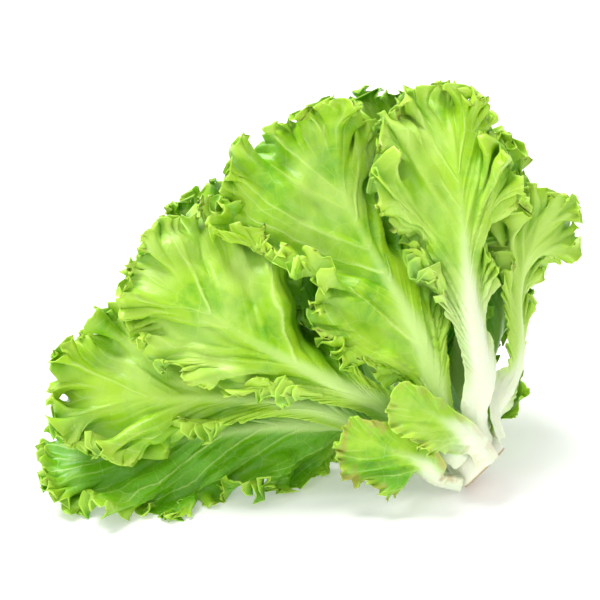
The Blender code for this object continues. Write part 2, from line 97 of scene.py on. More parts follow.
def drift(seed: int, run: Array, length: float) -> Array:
    """A slow uneven rise and fall along a run.

    Args:
        seed: which rise and fall.
        run: places along the run, in millimetres.
        length: the longest of its waves.

    Returns:
        A value from about -1 to 1 at each place.
    """
    total = np.zeros_like(np.asarray(run, float))
    phases = np.random.default_rng(seed).random(3)
    for phase, (rate, weight) in zip(phases, DRIFT_WAVES):
        total += weight * np.sin(TURN * (run * rate / length + phase))
    return total


def spline_weights(knots: Array, where: Array) -> Array:
    """Weights that read a smooth curve through values at knots.

    Args:
        knots: rising places of the values.
        where: places to read.

    Returns:
        A matrix, one row a place, that turns the knots' values into the curve's.
    """
    size, gaps, eye = len(knots), np.diff(knots), np.eye(len(knots))
    system, right = np.eye(size), np.zeros((size, size))
    for k in range(1, size - 1):
        system[k, k - 1 : k + 2] = gaps[k - 1], 2.0 * (gaps[k - 1] + gaps[k]), gaps[k]
        right[k] = 3.0 * ((eye[k + 1] - eye[k]) / gaps[k] - (eye[k] - eye[k - 1]) / gaps[k - 1])
    bend = np.linalg.solve(system, right)
    span = np.clip(np.searchsorted(knots, where, side="right") - 1, 0, size - 2)
    step, gap = (where - knots[span])[:, None], gaps[span][:, None]
    slope = (eye[span + 1] - eye[span]) / gap - gap * (2.0 * bend[span] + bend[span + 1]) / 3.0
    cubic = (bend[span + 1] - bend[span]) / (3.0 * gap)
    return eye[span] + slope * step + bend[span] * step**2 + cubic * step**3


def spline(points: Array, count: int) -> tuple[Array, float]:
    """A smooth curve through points, as that many evenly spaced ones, and its length."""
    points = np.asarray(points, float)
    knots = np.concatenate([[0.0], np.cumsum(np.linalg.norm(np.diff(points, axis=0), axis=1))])
    fine = spline_weights(knots, np.linspace(0.0, knots[-1], 8 * count)) @ points
    run = np.concatenate([[0.0], np.cumsum(np.linalg.norm(np.diff(fine, axis=0), axis=1))])
    even = np.linspace(0.0, run[-1], count)
    return np.stack([np.interp(even, run, fine[:, k]) for k in range(3)], axis=1), run[-1]


@dataclass(frozen=True)
class HeadShape:
    """Sizes that the whole head shares, in millimetres and degrees, as its solids have them."""

    lean: float = 25.0  # of the display plane, back from upright
    floor: float = -12.9  # the surface's height from the middle of the cut
    shift_across: float = 98.3  # from the middle of the cut to the head's own origin
    shift_back: float = -47.3
    stem_axis: Triple = (-0.70, 0.70, -0.12)  # across, rise, near: from the cut to the leaf tips
    stem_radius: float = 17.0  # at the cut
    stem_length: float = 72.0
    stem_taper: float = 0.72  # how much of its radius the stem has lost at its growing tip
    taper_power: float = 1.5
    blade_half: float = 0.45  # half the solid blade's thickness
    rib_depth: float = 4.0  # how far the rib stands out of the blade at the leaf's foot
    rib_depth_power: float = 1.4
    rib_half_width: float = 7.5  # at the leaf's foot, beyond the tip's
    rib_width_power: float = 1.3
    rib_tip_half_width: float = 1.2
    rib_end: float = 0.82  # the share of the leaf's length where the last veins fan out
    foot_gap: float = 0.5  # between a leaf's foot and the stem
    foot_lead: float = 15.0  # how far a rib follows its own side of the stem
    foot_spread: float = 0.8  # how far the lowest ribs lean out on that way
    floor_lift: float = 0.2  # how far a blade stays above the surface, where it has no rib
    hug_share: float = 0.16  # the share of the length where the foot stops curving round the stem
    swell_share: float = 0.5  # the share over which a wing widens, past its neck
    tip_start: float = 0.72  # the share where the wings begin to close
    tip_bluntness: float = 2.4
    vein_foot_power: float = 1.25  # how the veins' feet crowd together along the rib
    vein_end_power: float = 1.6  # and their ends along the margin
    wave_wander: Pair = (0.3, 0.9)  # how far the margin's waves stray, and how often
    lobe: float = 0.09  # how far the margin's lobes stand out, as a share of the wing
    lobe_rate: float = 1.2  # lobes for each wave of the margin
    fold_rate: float = 1.4
    fold_power: float = 1.2
    wave_rows: float = 0.3  # the share of the rows over which waves and folds grow, past the neck
    notch_width: float = 0.12  # of a wing's notch, as a share of the leaf's length
    hollow_width: float = 0.1  # of a wing's hollow, as a share of its rows
    hollow_column: float = 0.5  # how far out it is fully deep
    brow: float = 0.12  # how far the blade stands up beyond the hollow, as a share of its depth
    brow_place: float = 2.0  # hollow widths from the middle of the hollow to the brow

    def stand(self, points: Array) -> Array:
        """Points of the leaning display plane, turned upright."""
        points = np.asarray(points, float)
        lean = math.radians(self.lean)
        across, rise, near = points[..., 0], points[..., 1], points[..., 2]
        back = rise * math.sin(lean) - near * math.cos(lean)
        up = rise * math.cos(lean) + near * math.sin(lean)
        return np.stack([across, back, up], axis=-1)

    def axes(self) -> tuple[Array, Array, Array]:
        """The upright stem axis, and the directions round it at turn 0 and turn 90."""
        axis = unit(self.stand(self.stem_axis))
        viewer = self.stand((0.0, 0.0, 1.0))
        first = unit(viewer - axis * (viewer @ axis))
        return axis, first, np.cross(axis, first)

    def radius(self, height: Array) -> Array:
        """The stem's radius at a height above the cut."""
        share = np.clip(np.asarray(height, float) / self.stem_length, 0.0, 1.0)
        return self.stem_radius * (1.0 - self.stem_taper * share**self.taper_power)

    def shift(self) -> Array:
        """From the middle of the cut to the head's own origin."""
        return np.array([self.shift_across, self.shift_back, -self.floor])

    def place(self, points: Array) -> Array:
        """Points round the middle of the cut, in metres from the head's own origin."""
        return (points + self.shift()) * MM


HEAD = HeadShape()


class Detail(Enum):
    """How finely a leaf is modelled: rows from foot to tip, and columns on each half."""

    GRAND = (430, 27)
    PLAIN = (290, 21)
    SMALL = (150, 16)


class Slot(Enum):
    """The head's finishes."""

    OUTER = "outer_leaf"
    HEART = "heart_leaf"
    STEM = "stem_white"


@dataclass(frozen=True)
class Leaf:
    """One leaf: where it leaves the stem, the course of its rib, and how its wings lie."""

    name: str
    turn: float  # degrees round the stem: 0 faces the viewer, 90 the upper right
    height: float  # up the stem from the cut
    rib: tuple  # points (across, rise, near) after the foot, the last one at the tip
    face: Triple  # the way the outer side looks at mid-length
    face_tip: Triple  # and at the tip
    reach: Pair  # of the left and the right wing, seen from outside with the tip up
    neck: Pair  # the share of the length over which each wing stays narrow
    bend_left: Triple  # degrees the wing curls inwards at foot, middle and tip
    bend_right: Triple
    frill: float  # height of the margin's widest waves
    fold: float  # height of the slow folds that run from the rib to the margin
    waves: float  # waves along each margin
    seed: int
    foot: float = 6.5  # half the width where it meets the stem
    notch: Pair = (0.5, 0.0)  # where along the leaf the left wing draws in, and by what share
    hollow: Pair = (0.5, 0.0)  # which vein of the right wing dips behind, and how deep
    detail: Detail = Detail.PLAIN
    ruffle: float = 1.3  # how lively the margin's curls are
    pale: float = 0.14  # the share of the length that is white from the foot up
    tone: float = 0.5  # from deep green to milky
    wear: float = 0.05  # how far it is browned


# From the outermost leaf, lowest on the stem, to the innermost
LEAVES = (
    Leaf("leaf_foot_left", 300, 4, ((-37, 6, 28), (-60, 16, 34), (-80, 30, 34)),
         (0.0, -0.2, 0.95), (0.0, -0.2, 0.95), (26, 12), (0.1, 0.1), (20, 10, 0), (20, 0, 0),
         3, 2, 3.0, 2, foot=8, detail=Detail.SMALL, ruffle=0.8, pale=0.5, tone=0.5, wear=0.7),
    Leaf("leaf_foot_right", 140, 3, ((14, 34, -26), (24, 58, -26)),
         (0.7, 0.0, -0.3), (0.8, 0.0, 0.2), (16, 16), (0.1, 0.1), (20, 0, -20), (20, 0, -20),
         3, 2, 3.0, 6, detail=Detail.SMALL, ruffle=0.5),
    Leaf("leaf_foot_front", 15, 3, ((-32, 33, 39), (-53, 50, 43)),
         (0.0, 0.0, 1.0), (0.0, 0.0, 1.0), (20, 9), (0.1, 0.1), (20, 0, 0), (0, 0, 0),
         3, 2, 3.0, 5, foot=8, detail=Detail.SMALL, ruffle=0.8, pale=0.6, tone=0.7, wear=0.3),
    Leaf("leaf_far_low", 205, 6, ((-44, 13, -58), (-84, 23, -84), (-124, 30, -96), (-162, 39, -102)),
         (0.0, -0.73, -0.67), (-0.2, -0.6, -0.75), (54, 28), (0.1, 0.1), (30, 50, 20), (30, 40, 20),
         9, 6, 4.5, 10),
    Leaf("leaf_right_outer", 78, 7,
         ((17, 52, -6), (20, 79, -4), (20, 101, -4), (26, 124, -4), (50, 154, -4)),
         (0.75, -0.1, 0.6), (0.3, -0.1, 0.95), (30, 28), (0.5, 0.45), (-20, 50, 0), (-20, 50, -20),
         6, 4, 4.5, 7, foot=12, pale=0.42, tone=2.2),
    Leaf("leaf_top_front", 35, 10,
         ((-5, 44, 27), (-10, 79, 34), (-16, 124, 38), (-20, 170, 34), (-24, 219, 24)),
         (0.15, -0.1, 1.0), (0.0, 0.2, 1.0), (46, 26), (0.3, 0.25), (30, 15, -10), (40, 70, -20),
         9, 8, 4.5, 8, foot=11, detail=Detail.GRAND, ruffle=1.45, pale=0.6, tone=0.8),
    Leaf("leaf_far_right", 160, 11, ((-8, 60, -52), (-10, 100, -62), (-12, 140, -64), (-14, 172, -58)),
         (0.3, 0.1, -0.95), (0.3, 0.0, -0.95), (42, 42), (0.1, 0.1), (30, 40, 20), (30, 40, 20),
         9, 6, 4.5, 11),
    Leaf("leaf_far_left", 235, 12, ((-70, 6, -36), (-115, 12, -46), (-160, 18, -50), (-205, 30, -50)),
         (-0.1, -0.65, -0.7), (-0.3, -0.5, -0.8), (54, 16), (0.1, 0.1), (40, 50, 30), (30, 40, 20),
         9, 6, 4.5, 9),
    Leaf("leaf_mid_front", 352, 14,
         ((-31, 44, 27), (-37, 67, 30), (-51, 96, 32), (-66, 121, 33), (-80, 150, 33),
          (-90, 178, 30), (-97, 202, 25)),
         (0.0, 0.0, 1.0), (0.0, 0.1, 0.95), (78, 38), (0.15, 0.2), (10, -10, 0), (90, 130, 20),
         9, 10, 4.5, 13, foot=10, notch=(0.62, 0.5), detail=Detail.GRAND, ruffle=1.45, tone=0.65),
    Leaf("leaf_right_inner", 118, 15, ((7, 70, -16), (10, 105, -17), (12, 150, -16), (12, 194, -10)),
         (0.5, 0.0, 0.85), (0.3, -0.1, 0.95), (28, 20), (0.1, 0.1), (30, 30, 0), (30, 30, 0),
         8, 6, 4.5, 12, ruffle=1.6),
    Leaf("leaf_left_front", 322, 19,
         ((-51, 31, 19), (-77, 46, 30), (-105, 60, 38), (-134, 76, 41), (-164, 95, 40), (-200, 116, 32)),
         (0.1, -0.1, 0.98), (-0.2, 0.1, 0.95), (38, 74), (0.3, 0.28), (20, 0, 0), (60, 50, 20),
         7, 4, 4.5, 4, foot=9, hollow=(0.42, 28), detail=Detail.GRAND, ruffle=1.4, tone=0.72),
    Leaf("leaf_back_top", 165, 21, ((-34, 80, -50), (-46, 130, -50), (-56, 180, -40), (-65, 222, -26)),
         (0.1, 0.1, -0.95), (0.1, 0.1, -0.95), (50, 50), (0.1, 0.3), (30, 40, 20), (30, 40, 20),
         9, 6, 4.5, 15, ruffle=1.6),
    Leaf("leaf_left_lower", 297, 25,
         ((-62, 24, 13), (-90, 35, 19), (-120, 40, 22), (-162, 42, 25), (-219, 42, 27), (-244, 42, 24)),
         (0.0, 0.1, 0.95), (-0.2, 0.1, 0.9), (40, 54), (0.45, 0.2), (30, 20, 0), (40, 40, 0),
         10, 5, 4.5, 3, foot=9, detail=Detail.GRAND, ruffle=1.45, tone=0.7),
    Leaf("leaf_back_left", 213, 27, ((-70, 55, -42), (-114, 88, -46), (-156, 116, -42), (-194, 140, -32)),
         (-0.3, -0.3, -0.9), (-0.4, -0.1, -0.9), (54, 60), (0.3, 0.3), (30, 40, 20), (30, 40, 20),
         9, 6, 4.5, 16, ruffle=1.6),
    # Its low tone paints this lowest leaf darker, as painted shade
    Leaf("leaf_left_floor", 262, 31,
         ((-88, 25, -2), (-134, 23, 3), (-180, 16, 8), (-219, 12, 11), (-253, 14, 10)),
         (0.0, 0.1, 0.95), (-0.2, 0.2, 0.95), (46, 38), (-0.1, 0.3), (0, -10, -30), (40, 20, 0),
         10, 6, 4.6, 1, detail=Detail.GRAND, ruffle=1.25, tone=-0.2),
    Leaf("leaf_heart_high", 60, 36, ((-36, 88, -8), (-46, 130, -12), (-52, 170, -12)),
         (0.2, 0.1, 0.9), (0.2, 0.1, 0.9), (28, 22), (0.3, 0.1), (30, 60, 30), (30, 60, 30),
         6, 5, 4.5, 17, tone=0.8),
    Leaf("leaf_heart_low", 290, 40, ((-84, 66, -12), (-112, 98, -16), (-140, 132, -18)),
         (-0.2, -0.2, 0.9), (-0.3, -0.2, 0.9), (28, 32), (0.2, 0.3), (10, 10, 0), (20, 30, 10),
         5, 4, 4.5, 18, tone=0.8),
)


class Course:
    """A leaf's rib in space: its line, its direction, and the way its outer side looks."""

    SAMPLES = 160

    def __init__(self, leaf: Leaf) -> None:
        """Lays the rib of a leaf from its foot on the stem to its tip."""
        axis, first, second = HEAD.axes()
        turn = math.radians(leaf.turn)
        outward = math.cos(turn) * first + math.sin(turn) * second
        self.foot_radius = float(HEAD.radius(leaf.height)) + HEAD.foot_gap + HEAD.blade_half
        foot = axis * leaf.height + outward * self.foot_radius
        spread = HEAD.foot_spread * (1.0 - leaf.height / HEAD.stem_length)
        lead = foot + HEAD.foot_lead * unit(axis + spread * outward)
        self.points, self.length = spline([foot, lead, *HEAD.stand(leaf.rib)], self.SAMPLES)
        self.along = unit(np.gradient(self.points, axis=0))
        share = np.linspace(0.0, 1.0, self.SAMPLES)[:, None]
        middle, tip = unit(HEAD.stand(leaf.face)), unit(HEAD.stand(leaf.face_tip))
        face = np.where(
            share < 0.5,
            outward + (middle - outward) * smooth(2.0 * share),
            middle + (tip - middle) * smooth(2.0 * share - 1.0),
        )
        self.face = unit(face - self.along * (face * self.along).sum(1, keepdims=True))
        self.side = np.cross(self.face, self.along)

    def at(self, table: Array, run: Array) -> Array:
        """A table of the course read at distances along it."""
        share = np.clip(run / self.length, 0.0, 1.0) * (self.SAMPLES - 1)
        low = np.minimum(share.astype(int), self.SAMPLES - 2)
        part = (share - low)[..., None]
        return table[low] * (1.0 - part) + table[low + 1] * part


def half_width(share: Array, leaf: Leaf, left: bool) -> Array:
    """A wing's width along the leaf's length."""
    reach, neck = (pair[0 if left else 1] for pair in (leaf.reach, leaf.neck))
    foot = min(leaf.foot, 0.5 * reach)
    swell = foot + (reach - foot) * smooth((share - neck) / HEAD.swell_share)
    if left:
        place, depth = leaf.notch
        swell = swell * (1.0 - depth * np.exp(-(((share - place) / HEAD.notch_width) ** 2)))
    close = np.clip((share - HEAD.tip_start) / (1.0 - HEAD.tip_start), 0.0, 1.0)
    return swell * np.sqrt(np.clip(1.0 - close**HEAD.tip_bluntness, 0.0, 1.0))


def rib_depth(share: Array, out: Array) -> Array:
    """How far the rib stands out of the blade's outer side."""
    left = np.clip(1.0 - share, 0.0, 1.0)
    width = HEAD.rib_tip_half_width + HEAD.rib_half_width * left**HEAD.rib_width_power
    return HEAD.rib_depth * left**HEAD.rib_depth_power * np.exp(-((out / width) ** 2))


def vein_place(row: Array, column: Array) -> tuple[Array, Array]:
    """Where a place on the blade lies along the leaf.

    Args:
        row: which vein, from 0 at the foot to 1 at the tip.
        column: how far along the vein, from 0 at the rib to 1 at the margin.

    Returns:
        The share of the length there, and where the vein ends.
    """
    start = HEAD.rib_end * (1.0 - (1.0 - row) ** HEAD.vein_foot_power)
    end = 1.0 - (1.0 - row) ** HEAD.vein_end_power
    return start + (end - start) * column, end


def wing(leaf: Leaf, course: Course, left: bool, rows: Array, columns: Array, size: float) -> tuple:
    """One half of a leaf as it lies by itself.

    Args:
        leaf: the leaf.
        course: its rib in space.
        left: whether it is the left half.
        rows: veins, from foot to tip.
        columns: places along the veins, from the rib to the margin.
        size: how far the wing has grown, as a share of its reach.

    Returns:
        Points, rows by columns, and the rib's depth at each.
    """
    row, column = rows[:, None], columns[None, :]
    reach, neck = (pair[0 if left else 1] for pair in (leaf.reach, leaf.neck))
    bends = leaf.bend_left if left else leaf.bend_right
    around = row if left else 2.0 - row
    first, second, third = np.random.default_rng(leaf.seed).random(3)
    wander, rate = HEAD.wave_wander
    turns = leaf.waves * around + wander * np.sin(TURN * (rate * around + first)) + second
    frill = leaf.frill * np.sin(TURN * turns) * column**2
    fold = leaf.fold * np.sin(TURN * (HEAD.fold_rate * around + third)) * column**HEAD.fold_power
    lobes = 1.0 + HEAD.lobe * np.sin(TURN * (HEAD.lobe_rate * turns + third)) * column**2
    share, end = vein_place(row, column)
    run = share * course.length
    out = size * half_width(end, leaf, left) * column * lobes
    hug = 1.0 / course.foot_radius
    curl = np.radians(through(bends, share)) / reach
    curl = hug + (curl - hug) * smooth(share / HEAD.hug_share)
    angle = curl * out
    small = np.where(np.abs(angle) < TINY, TINY, angle)
    side = course.at(course.side, run) * (1.0 if left else -1.0)
    face = course.at(course.face, run)
    across = (out * np.sin(small) / small)[..., None]
    inward = (out * (1.0 - np.cos(small)) / small)[..., None]
    points = course.at(course.points, run) + side * across - face * inward
    normal = side * np.sin(angle)[..., None] + face * np.cos(angle)[..., None]
    rise = frill + fold
    if not left:
        place, depth = leaf.hollow
        away = (row - place) / HEAD.hollow_width
        dip = np.exp(-(away**2)) - HEAD.brow * np.exp(-((away - HEAD.brow_place) ** 2))
        rise = rise - depth * dip * smooth(column / HEAD.hollow_column)
    height = size * smooth((row - 0.5 * neck) / HEAD.wave_rows) * rise
    return points + normal * height[..., None], rib_depth(share, out)


class Weave:
    """The coarse grid that every leaf settles on: two halves that share the rib and the tip's vein."""

    ROWS = np.linspace(0.0, 1.0, 16)
    COLUMNS = np.array([0.0, 0.12, 0.36, 0.62, 0.83, 1.0])

    def __init__(self) -> None:
        """Numbers the points and splits the grid into triangles."""
        rows, columns = len(self.ROWS), len(self.COLUMNS)
        left = np.arange(rows * columns).reshape(rows, columns)
        right = np.empty_like(left)
        right[:, 0], right[-1] = left[:, 0], left[-1]
        right[:-1, 1:] = left.size + np.arange((rows - 1) * (columns - 1)).reshape(rows - 1, columns - 1)
        faces = []
        for grid, flip in ((left, False), (right, True)):
            for i in range(rows - 1):
                for j in range(columns - 1):
                    a, b, c, d = grid[i, j], grid[i + 1, j], grid[i + 1, j + 1], grid[i, j + 1]
                    pair = [(a, b, d), (b, c, d)] if i == rows - 2 else [(a, b, c), (a, c, d)]
                    faces += [t[::-1] for t in pair] if flip else pair
        self.faces = np.array(faces)
        self.full = np.concatenate([left[:, :0:-1], right], axis=1)  # from margin to margin

    def points(self, leaf: Leaf, course: Course, size: float) -> tuple[Array, Array]:
        """A leaf's middle surface as one list of points, with the rib's depth at each."""
        left, rib_left = wing(leaf, course, True, self.ROWS, self.COLUMNS, size)
        right, rib_right = wing(leaf, course, False, self.ROWS, self.COLUMNS, size)
        points = np.concatenate([left.reshape(-1, 3), right[:-1, 1:].reshape(-1, 3)])
        return points, np.concatenate([rib_left.ravel(), rib_right[:-1, 1:].ravel()])


def face_normals(points: Array, faces: Array) -> Array:
    """The outward direction of each triangle."""
    corners = points[faces]
    return unit(np.cross(corners[:, 1] - corners[:, 0], corners[:, 2] - corners[:, 0]))


def point_normals(points: Array, faces: Array) -> Array:
    """The outward direction at each point."""
    corners = points[faces]
    across = np.cross(corners[:, 1] - corners[:, 0], corners[:, 2] - corners[:, 0])
    total = np.zeros_like(points)
    for k in range(3):
        np.add.at(total, faces[:, k], across)
    return unit(total)


@dataclass
class Crowd:
    """Leaves that grow out from their ribs and press on each other until none of them cross."""

    leaves: tuple
    gap: float = 2.0  # between the middles of two blades that press on each other
    deep: float = 8.0  # how deep one leaf may lie in another before they settle
    beside: Pair = (0.6, 0.35)  # how far aside a point is pushed straight away: least, and by height
    stem_reach: float = 2.0  # how far beyond the stem's ends a leaf still keeps off it
    least_weight: float = 0.5  # of the pushes on a point
    settle_steps: int = 40
    grow_start: float = 0.2  # the wings' size as the steps begin, as a share of their reach
    grow_rate: float = 1.2  # and how much they gain over all steps
    even_until: float = 0.8  # the share of the steps that also even the moves out
    part_steps: int = 40
    part_step: float = 0.5
    part_shares: Pair = (0.6, 0.4)  # of a point's own move and of its neighbours' when leaves part
    rays: int = 96  # sent from each point to see how hidden it is
    ray_start: float = 2.5

    def __post_init__(self) -> None:
        """Lays the courses, and prepares what each round reads."""
        self.weave = Weave()
        self.faces = self.weave.faces
        self.courses = [Course(leaf) for leaf in self.leaves]
        self.grow(1.0)
        count, faces = len(self.sheets[0]), self.faces
        links = np.zeros((count, count))
        for k in range(3):
            links[faces[:, k], faces[:, (k + 1) % 3]] = 1.0
            links[faces[:, (k + 1) % 3], faces[:, k]] = 1.0
        self.even = links / links.sum(1, keepdims=True)
        pairs = np.argwhere(np.triu(links))
        ends = np.zeros((len(pairs), count))
        ends[np.arange(len(pairs)), pairs[:, 0]] = ends[np.arange(len(pairs)), pairs[:, 1]] = 1.0
        middles = np.zeros((len(faces), count))
        for k in range(3):
            middles[np.arange(len(faces)), faces[:, k]] = 1.0 / 3.0
        self.samples = np.concatenate([np.eye(count), middles, 0.5 * ends])
        self.moves = [np.zeros_like(s) for s in self.sheets]
        self.axis = HEAD.axes()[0]

    def grow(self, size: float) -> None:
        """The leaves as they lie by themselves, their wings grown to a share of their reach."""
        built = [self.weave.points(leaf, course, size) for leaf, course in zip(self.leaves, self.courses)]
        self.sheets = [points for points, _ in built]
        self.ribs = [rib for _, rib in built]

    def press(self, a: int, b: int) -> None:
        """Parts leaf a from leaf b where a comes too near or has crossed over."""
        points = self.samples @ self.now[a]
        low, high = self.now[b].min(0) - self.gap, self.now[b].max(0) + self.gap
        index = np.nonzero(((points > low) & (points < high)).all(1))[0]
        hits = [self.trees[b].find_nearest(points[k], self.deep) for k in index]
        found = [k for k, hit in enumerate(hits) if hit[0] is not None]
        if not found:
            return
        index = index[found]
        near = np.array([hits[k][0] for k in found])
        normal = np.array([hits[k][1] for k in found])
        face = self.faces[[hits[k][2] for k in found]]
        distance = np.array([hits[k][3] for k in found])
        inside = self.leaves[a].height > self.leaves[b].height
        facing = ((self.samples @ self.normals[a])[index] * normal).sum(1)
        side = np.where((facing < 0.0) | inside, -1.0, 1.0)
        offset = points[index] - near
        height = (offset * normal).sum(1) * side
        aside = np.sqrt(np.clip(distance**2 - height**2, 0.0, None))
        rib = np.where(side > 0, self.ribs[b][face].mean(1), (self.samples @ self.ribs[a])[index])
        need = self.gap + np.where(facing < 0.0, 0.0, rib)
        least, slope = self.beside
        beside = aside > least + slope * np.abs(height)
        way = np.where(
            beside[:, None],
            offset / np.maximum(distance, TINY)[:, None] * (need - distance)[:, None],
            normal * (side * (need - height))[:, None],
        )
        close = np.where(beside, distance < need, height < need)
        index, face, way = index[close], face[close], 0.5 * way[close]
        share = self.samples[index]
        self.push[a] += share.T @ way
        self.weight[a] += share.sum(0)
        for k in range(3):
            np.add.at(self.push[b], face[:, k], -way / 3.0)
            np.add.at(self.weight[b], face[:, k], 1.0 / 3.0)

    def clear_stem(self, a: int) -> None:
        """Keeps a leaf off the stem and above the surface."""
        sheet = self.sheets[a] + self.moves[a]
        height = sheet @ self.axis
        outward = sheet - height[:, None] * self.axis
        radius = np.linalg.norm(outward, axis=1)
        by_stem = (height > -self.stem_reach) & (height < HEAD.stem_length + self.stem_reach)
        need = np.where(by_stem, HEAD.radius(height) + HEAD.foot_gap + HEAD.blade_half, 0.0)
        lack = np.clip(need - radius, 0.0, None) / np.maximum(radius, TINY)
        self.moves[a] += outward * lack[:, None]
        sheet = self.sheets[a] + self.moves[a]
        lowest = HEAD.floor + HEAD.blade_half + HEAD.floor_lift
        self.moves[a][:, 2] += np.clip(lowest - sheet[:, 2], 0.0, None)

    def step(self, spread: int) -> None:
        """One round of pressing apart."""
        count = len(self.leaves)
        self.now = [s + m for s, m in zip(self.sheets, self.moves)]
        self.normals = [point_normals(s, self.faces) for s in self.now]
        self.trees = [BVHTree.FromPolygons(s.tolist(), self.faces.tolist()) for s in self.now]
        self.push = [np.zeros_like(s) for s in self.now]
        self.weight = [np.zeros(len(s)) for s in self.now]
        for a in range(count):
            for b in range(count):
                if a != b:
                    self.press(a, b)
        for a in range(count):
            self.moves[a] += self.push[a] / np.maximum(self.weight[a], self.least_weight)[:, None]
            for _ in range(spread):
                self.moves[a] = 0.5 * self.moves[a] + 0.5 * self.even @ self.moves[a]
            self.clear_stem(a)

    def solid(self, points: Array, rib: Array) -> tuple[Array, list]:
        """A blade's outer and inner side, split alike."""
        normals = point_normals(points, self.faces)
        outer = points + normals * (HEAD.blade_half + rib)[:, None]
        inner = points - normals * HEAD.blade_half
        for side in (outer, inner):
            side[:, 2] = np.maximum(side[:, 2], HEAD.floor)
        count = len(points)
        triangles = [tuple(t) for t in self.faces.tolist()]
        triangles += [(c + count, b + count, a + count) for a, b, c in self.faces.tolist()]
        return np.concatenate([outer, inner]), triangles

    def part_solids(self) -> int:
        """Parts the leaves that still cross once they have their thickness. Returns how many do."""
        sheets = [s + m for s, m in zip(self.sheets, self.moves)]
        solids = [self.solid(s, r) for s, r in zip(sheets, self.ribs)]
        trees = [BVHTree.FromPolygons(p.tolist(), t) for p, t in solids]
        half = len(self.faces)
        push = [np.zeros_like(s) for s in sheets]
        crossed = 0
        normals = [face_normals(s, self.faces) for s in sheets]
        for a in range(len(sheets)):
            for b in range(a):
                pairs = [(i % half, j % half) for i, j in trees[a].overlap(trees[b])]
                crossed += bool(pairs)
                inside = self.leaves[a].height > self.leaves[b].height
                for i, j in sorted(set(pairs)):
                    facing = normals[a][i] @ normals[b][j] < 0.0
                    a_side = -1.0 if facing or inside else 1.0
                    b_side = -1.0 if facing or not inside else 1.0
                    way = a_side * normals[b][j] - b_side * normals[a][i]
                    push[a][self.faces[i]] += way
                    push[b][self.faces[j]] -= way
        own, shared = self.part_shares
        for a, total in enumerate(push):
            size = np.linalg.norm(total, axis=1, keepdims=True)
            move = total / np.maximum(size, 1.0) * self.part_step
            self.moves[a] += own * move + shared * self.even @ move
            self.clear_stem(a)
        return crossed

    def settle(self) -> list[tuple[Array, Array]]:
        """Settles the leaves.

        Returns:
            Each leaf's points on the coarse grid, from margin to margin, rows by columns, and how
            hidden each of them is.
        """
        for k in range(self.settle_steps):
            share = (k + 1) / self.settle_steps
            self.grow(min(1.0, self.grow_start + self.grow_rate * share))
            self.step(1 if share < self.even_until else 0)
        for _ in range(self.part_steps):
            if not self.part_solids():
                break
        sheets = [s + m for s, m in zip(self.sheets, self.moves)]
        full = self.weave.full
        return [(sheet[full], hidden[full]) for sheet, hidden in zip(sheets, self.shelter(sheets))]

    def shelter(self, sheets: list[Array]) -> Array:
        """How hidden each point of the settled leaves is from the light, as a share of all directions, which
        the finish paints as shade.
        """
        points, count = np.concatenate(sheets), len(sheets[0])
        triangles = np.concatenate([self.faces + k * count for k in range(len(sheets))])
        tree = BVHTree.FromPolygons(points.tolist(), triangles.tolist())
        step = np.arange(self.rays) + 0.5
        up, turn = 1.0 - 2.0 * step / self.rays, step * math.pi * GOLDEN
        flat = np.sqrt(1.0 - up**2)
        ways = [Vector(way) for way in np.stack([flat * np.cos(turn), flat * np.sin(turn), up], axis=1)]
        hidden = np.zeros(len(points))
        for k, point in enumerate(points):
            start = Vector(point)
            hits = [tree.ray_cast(start + self.ray_start * way, way)[0] is not None for way in ways]
            hidden[k] = sum(hits) / self.rays
        return hidden.reshape(len(sheets), count)


@dataclass(frozen=True)
class Ruffle:
    """One size of curl along the margins, in millimetres and degrees."""

    length: float  # of a wave, along the margin
    curl: float  # how far its crests turn out of the blade, at the margin
    band: float  # how far in from the margin it starts
    over: float  # how far its crests hang over, as a share of the band
    lean: float  # how far it stays on the outer side of the blade


class Draw(IntEnum):
    """What is drawn at random for a leaf, as a number added to the leaf's own seed."""

    CURL_PLACE = 20
    CURL_SLANT = 25
    CURL_SIZE = 30
    VEIN_PLACE = 40
    TOOTH_PLACE = 60
    TOOTH_SIZE = 61
    LOBE_PLACE = 62
    BILLOW_ALONG = 70
    BILLOW_ACROSS = 71
    PUCKER = 90


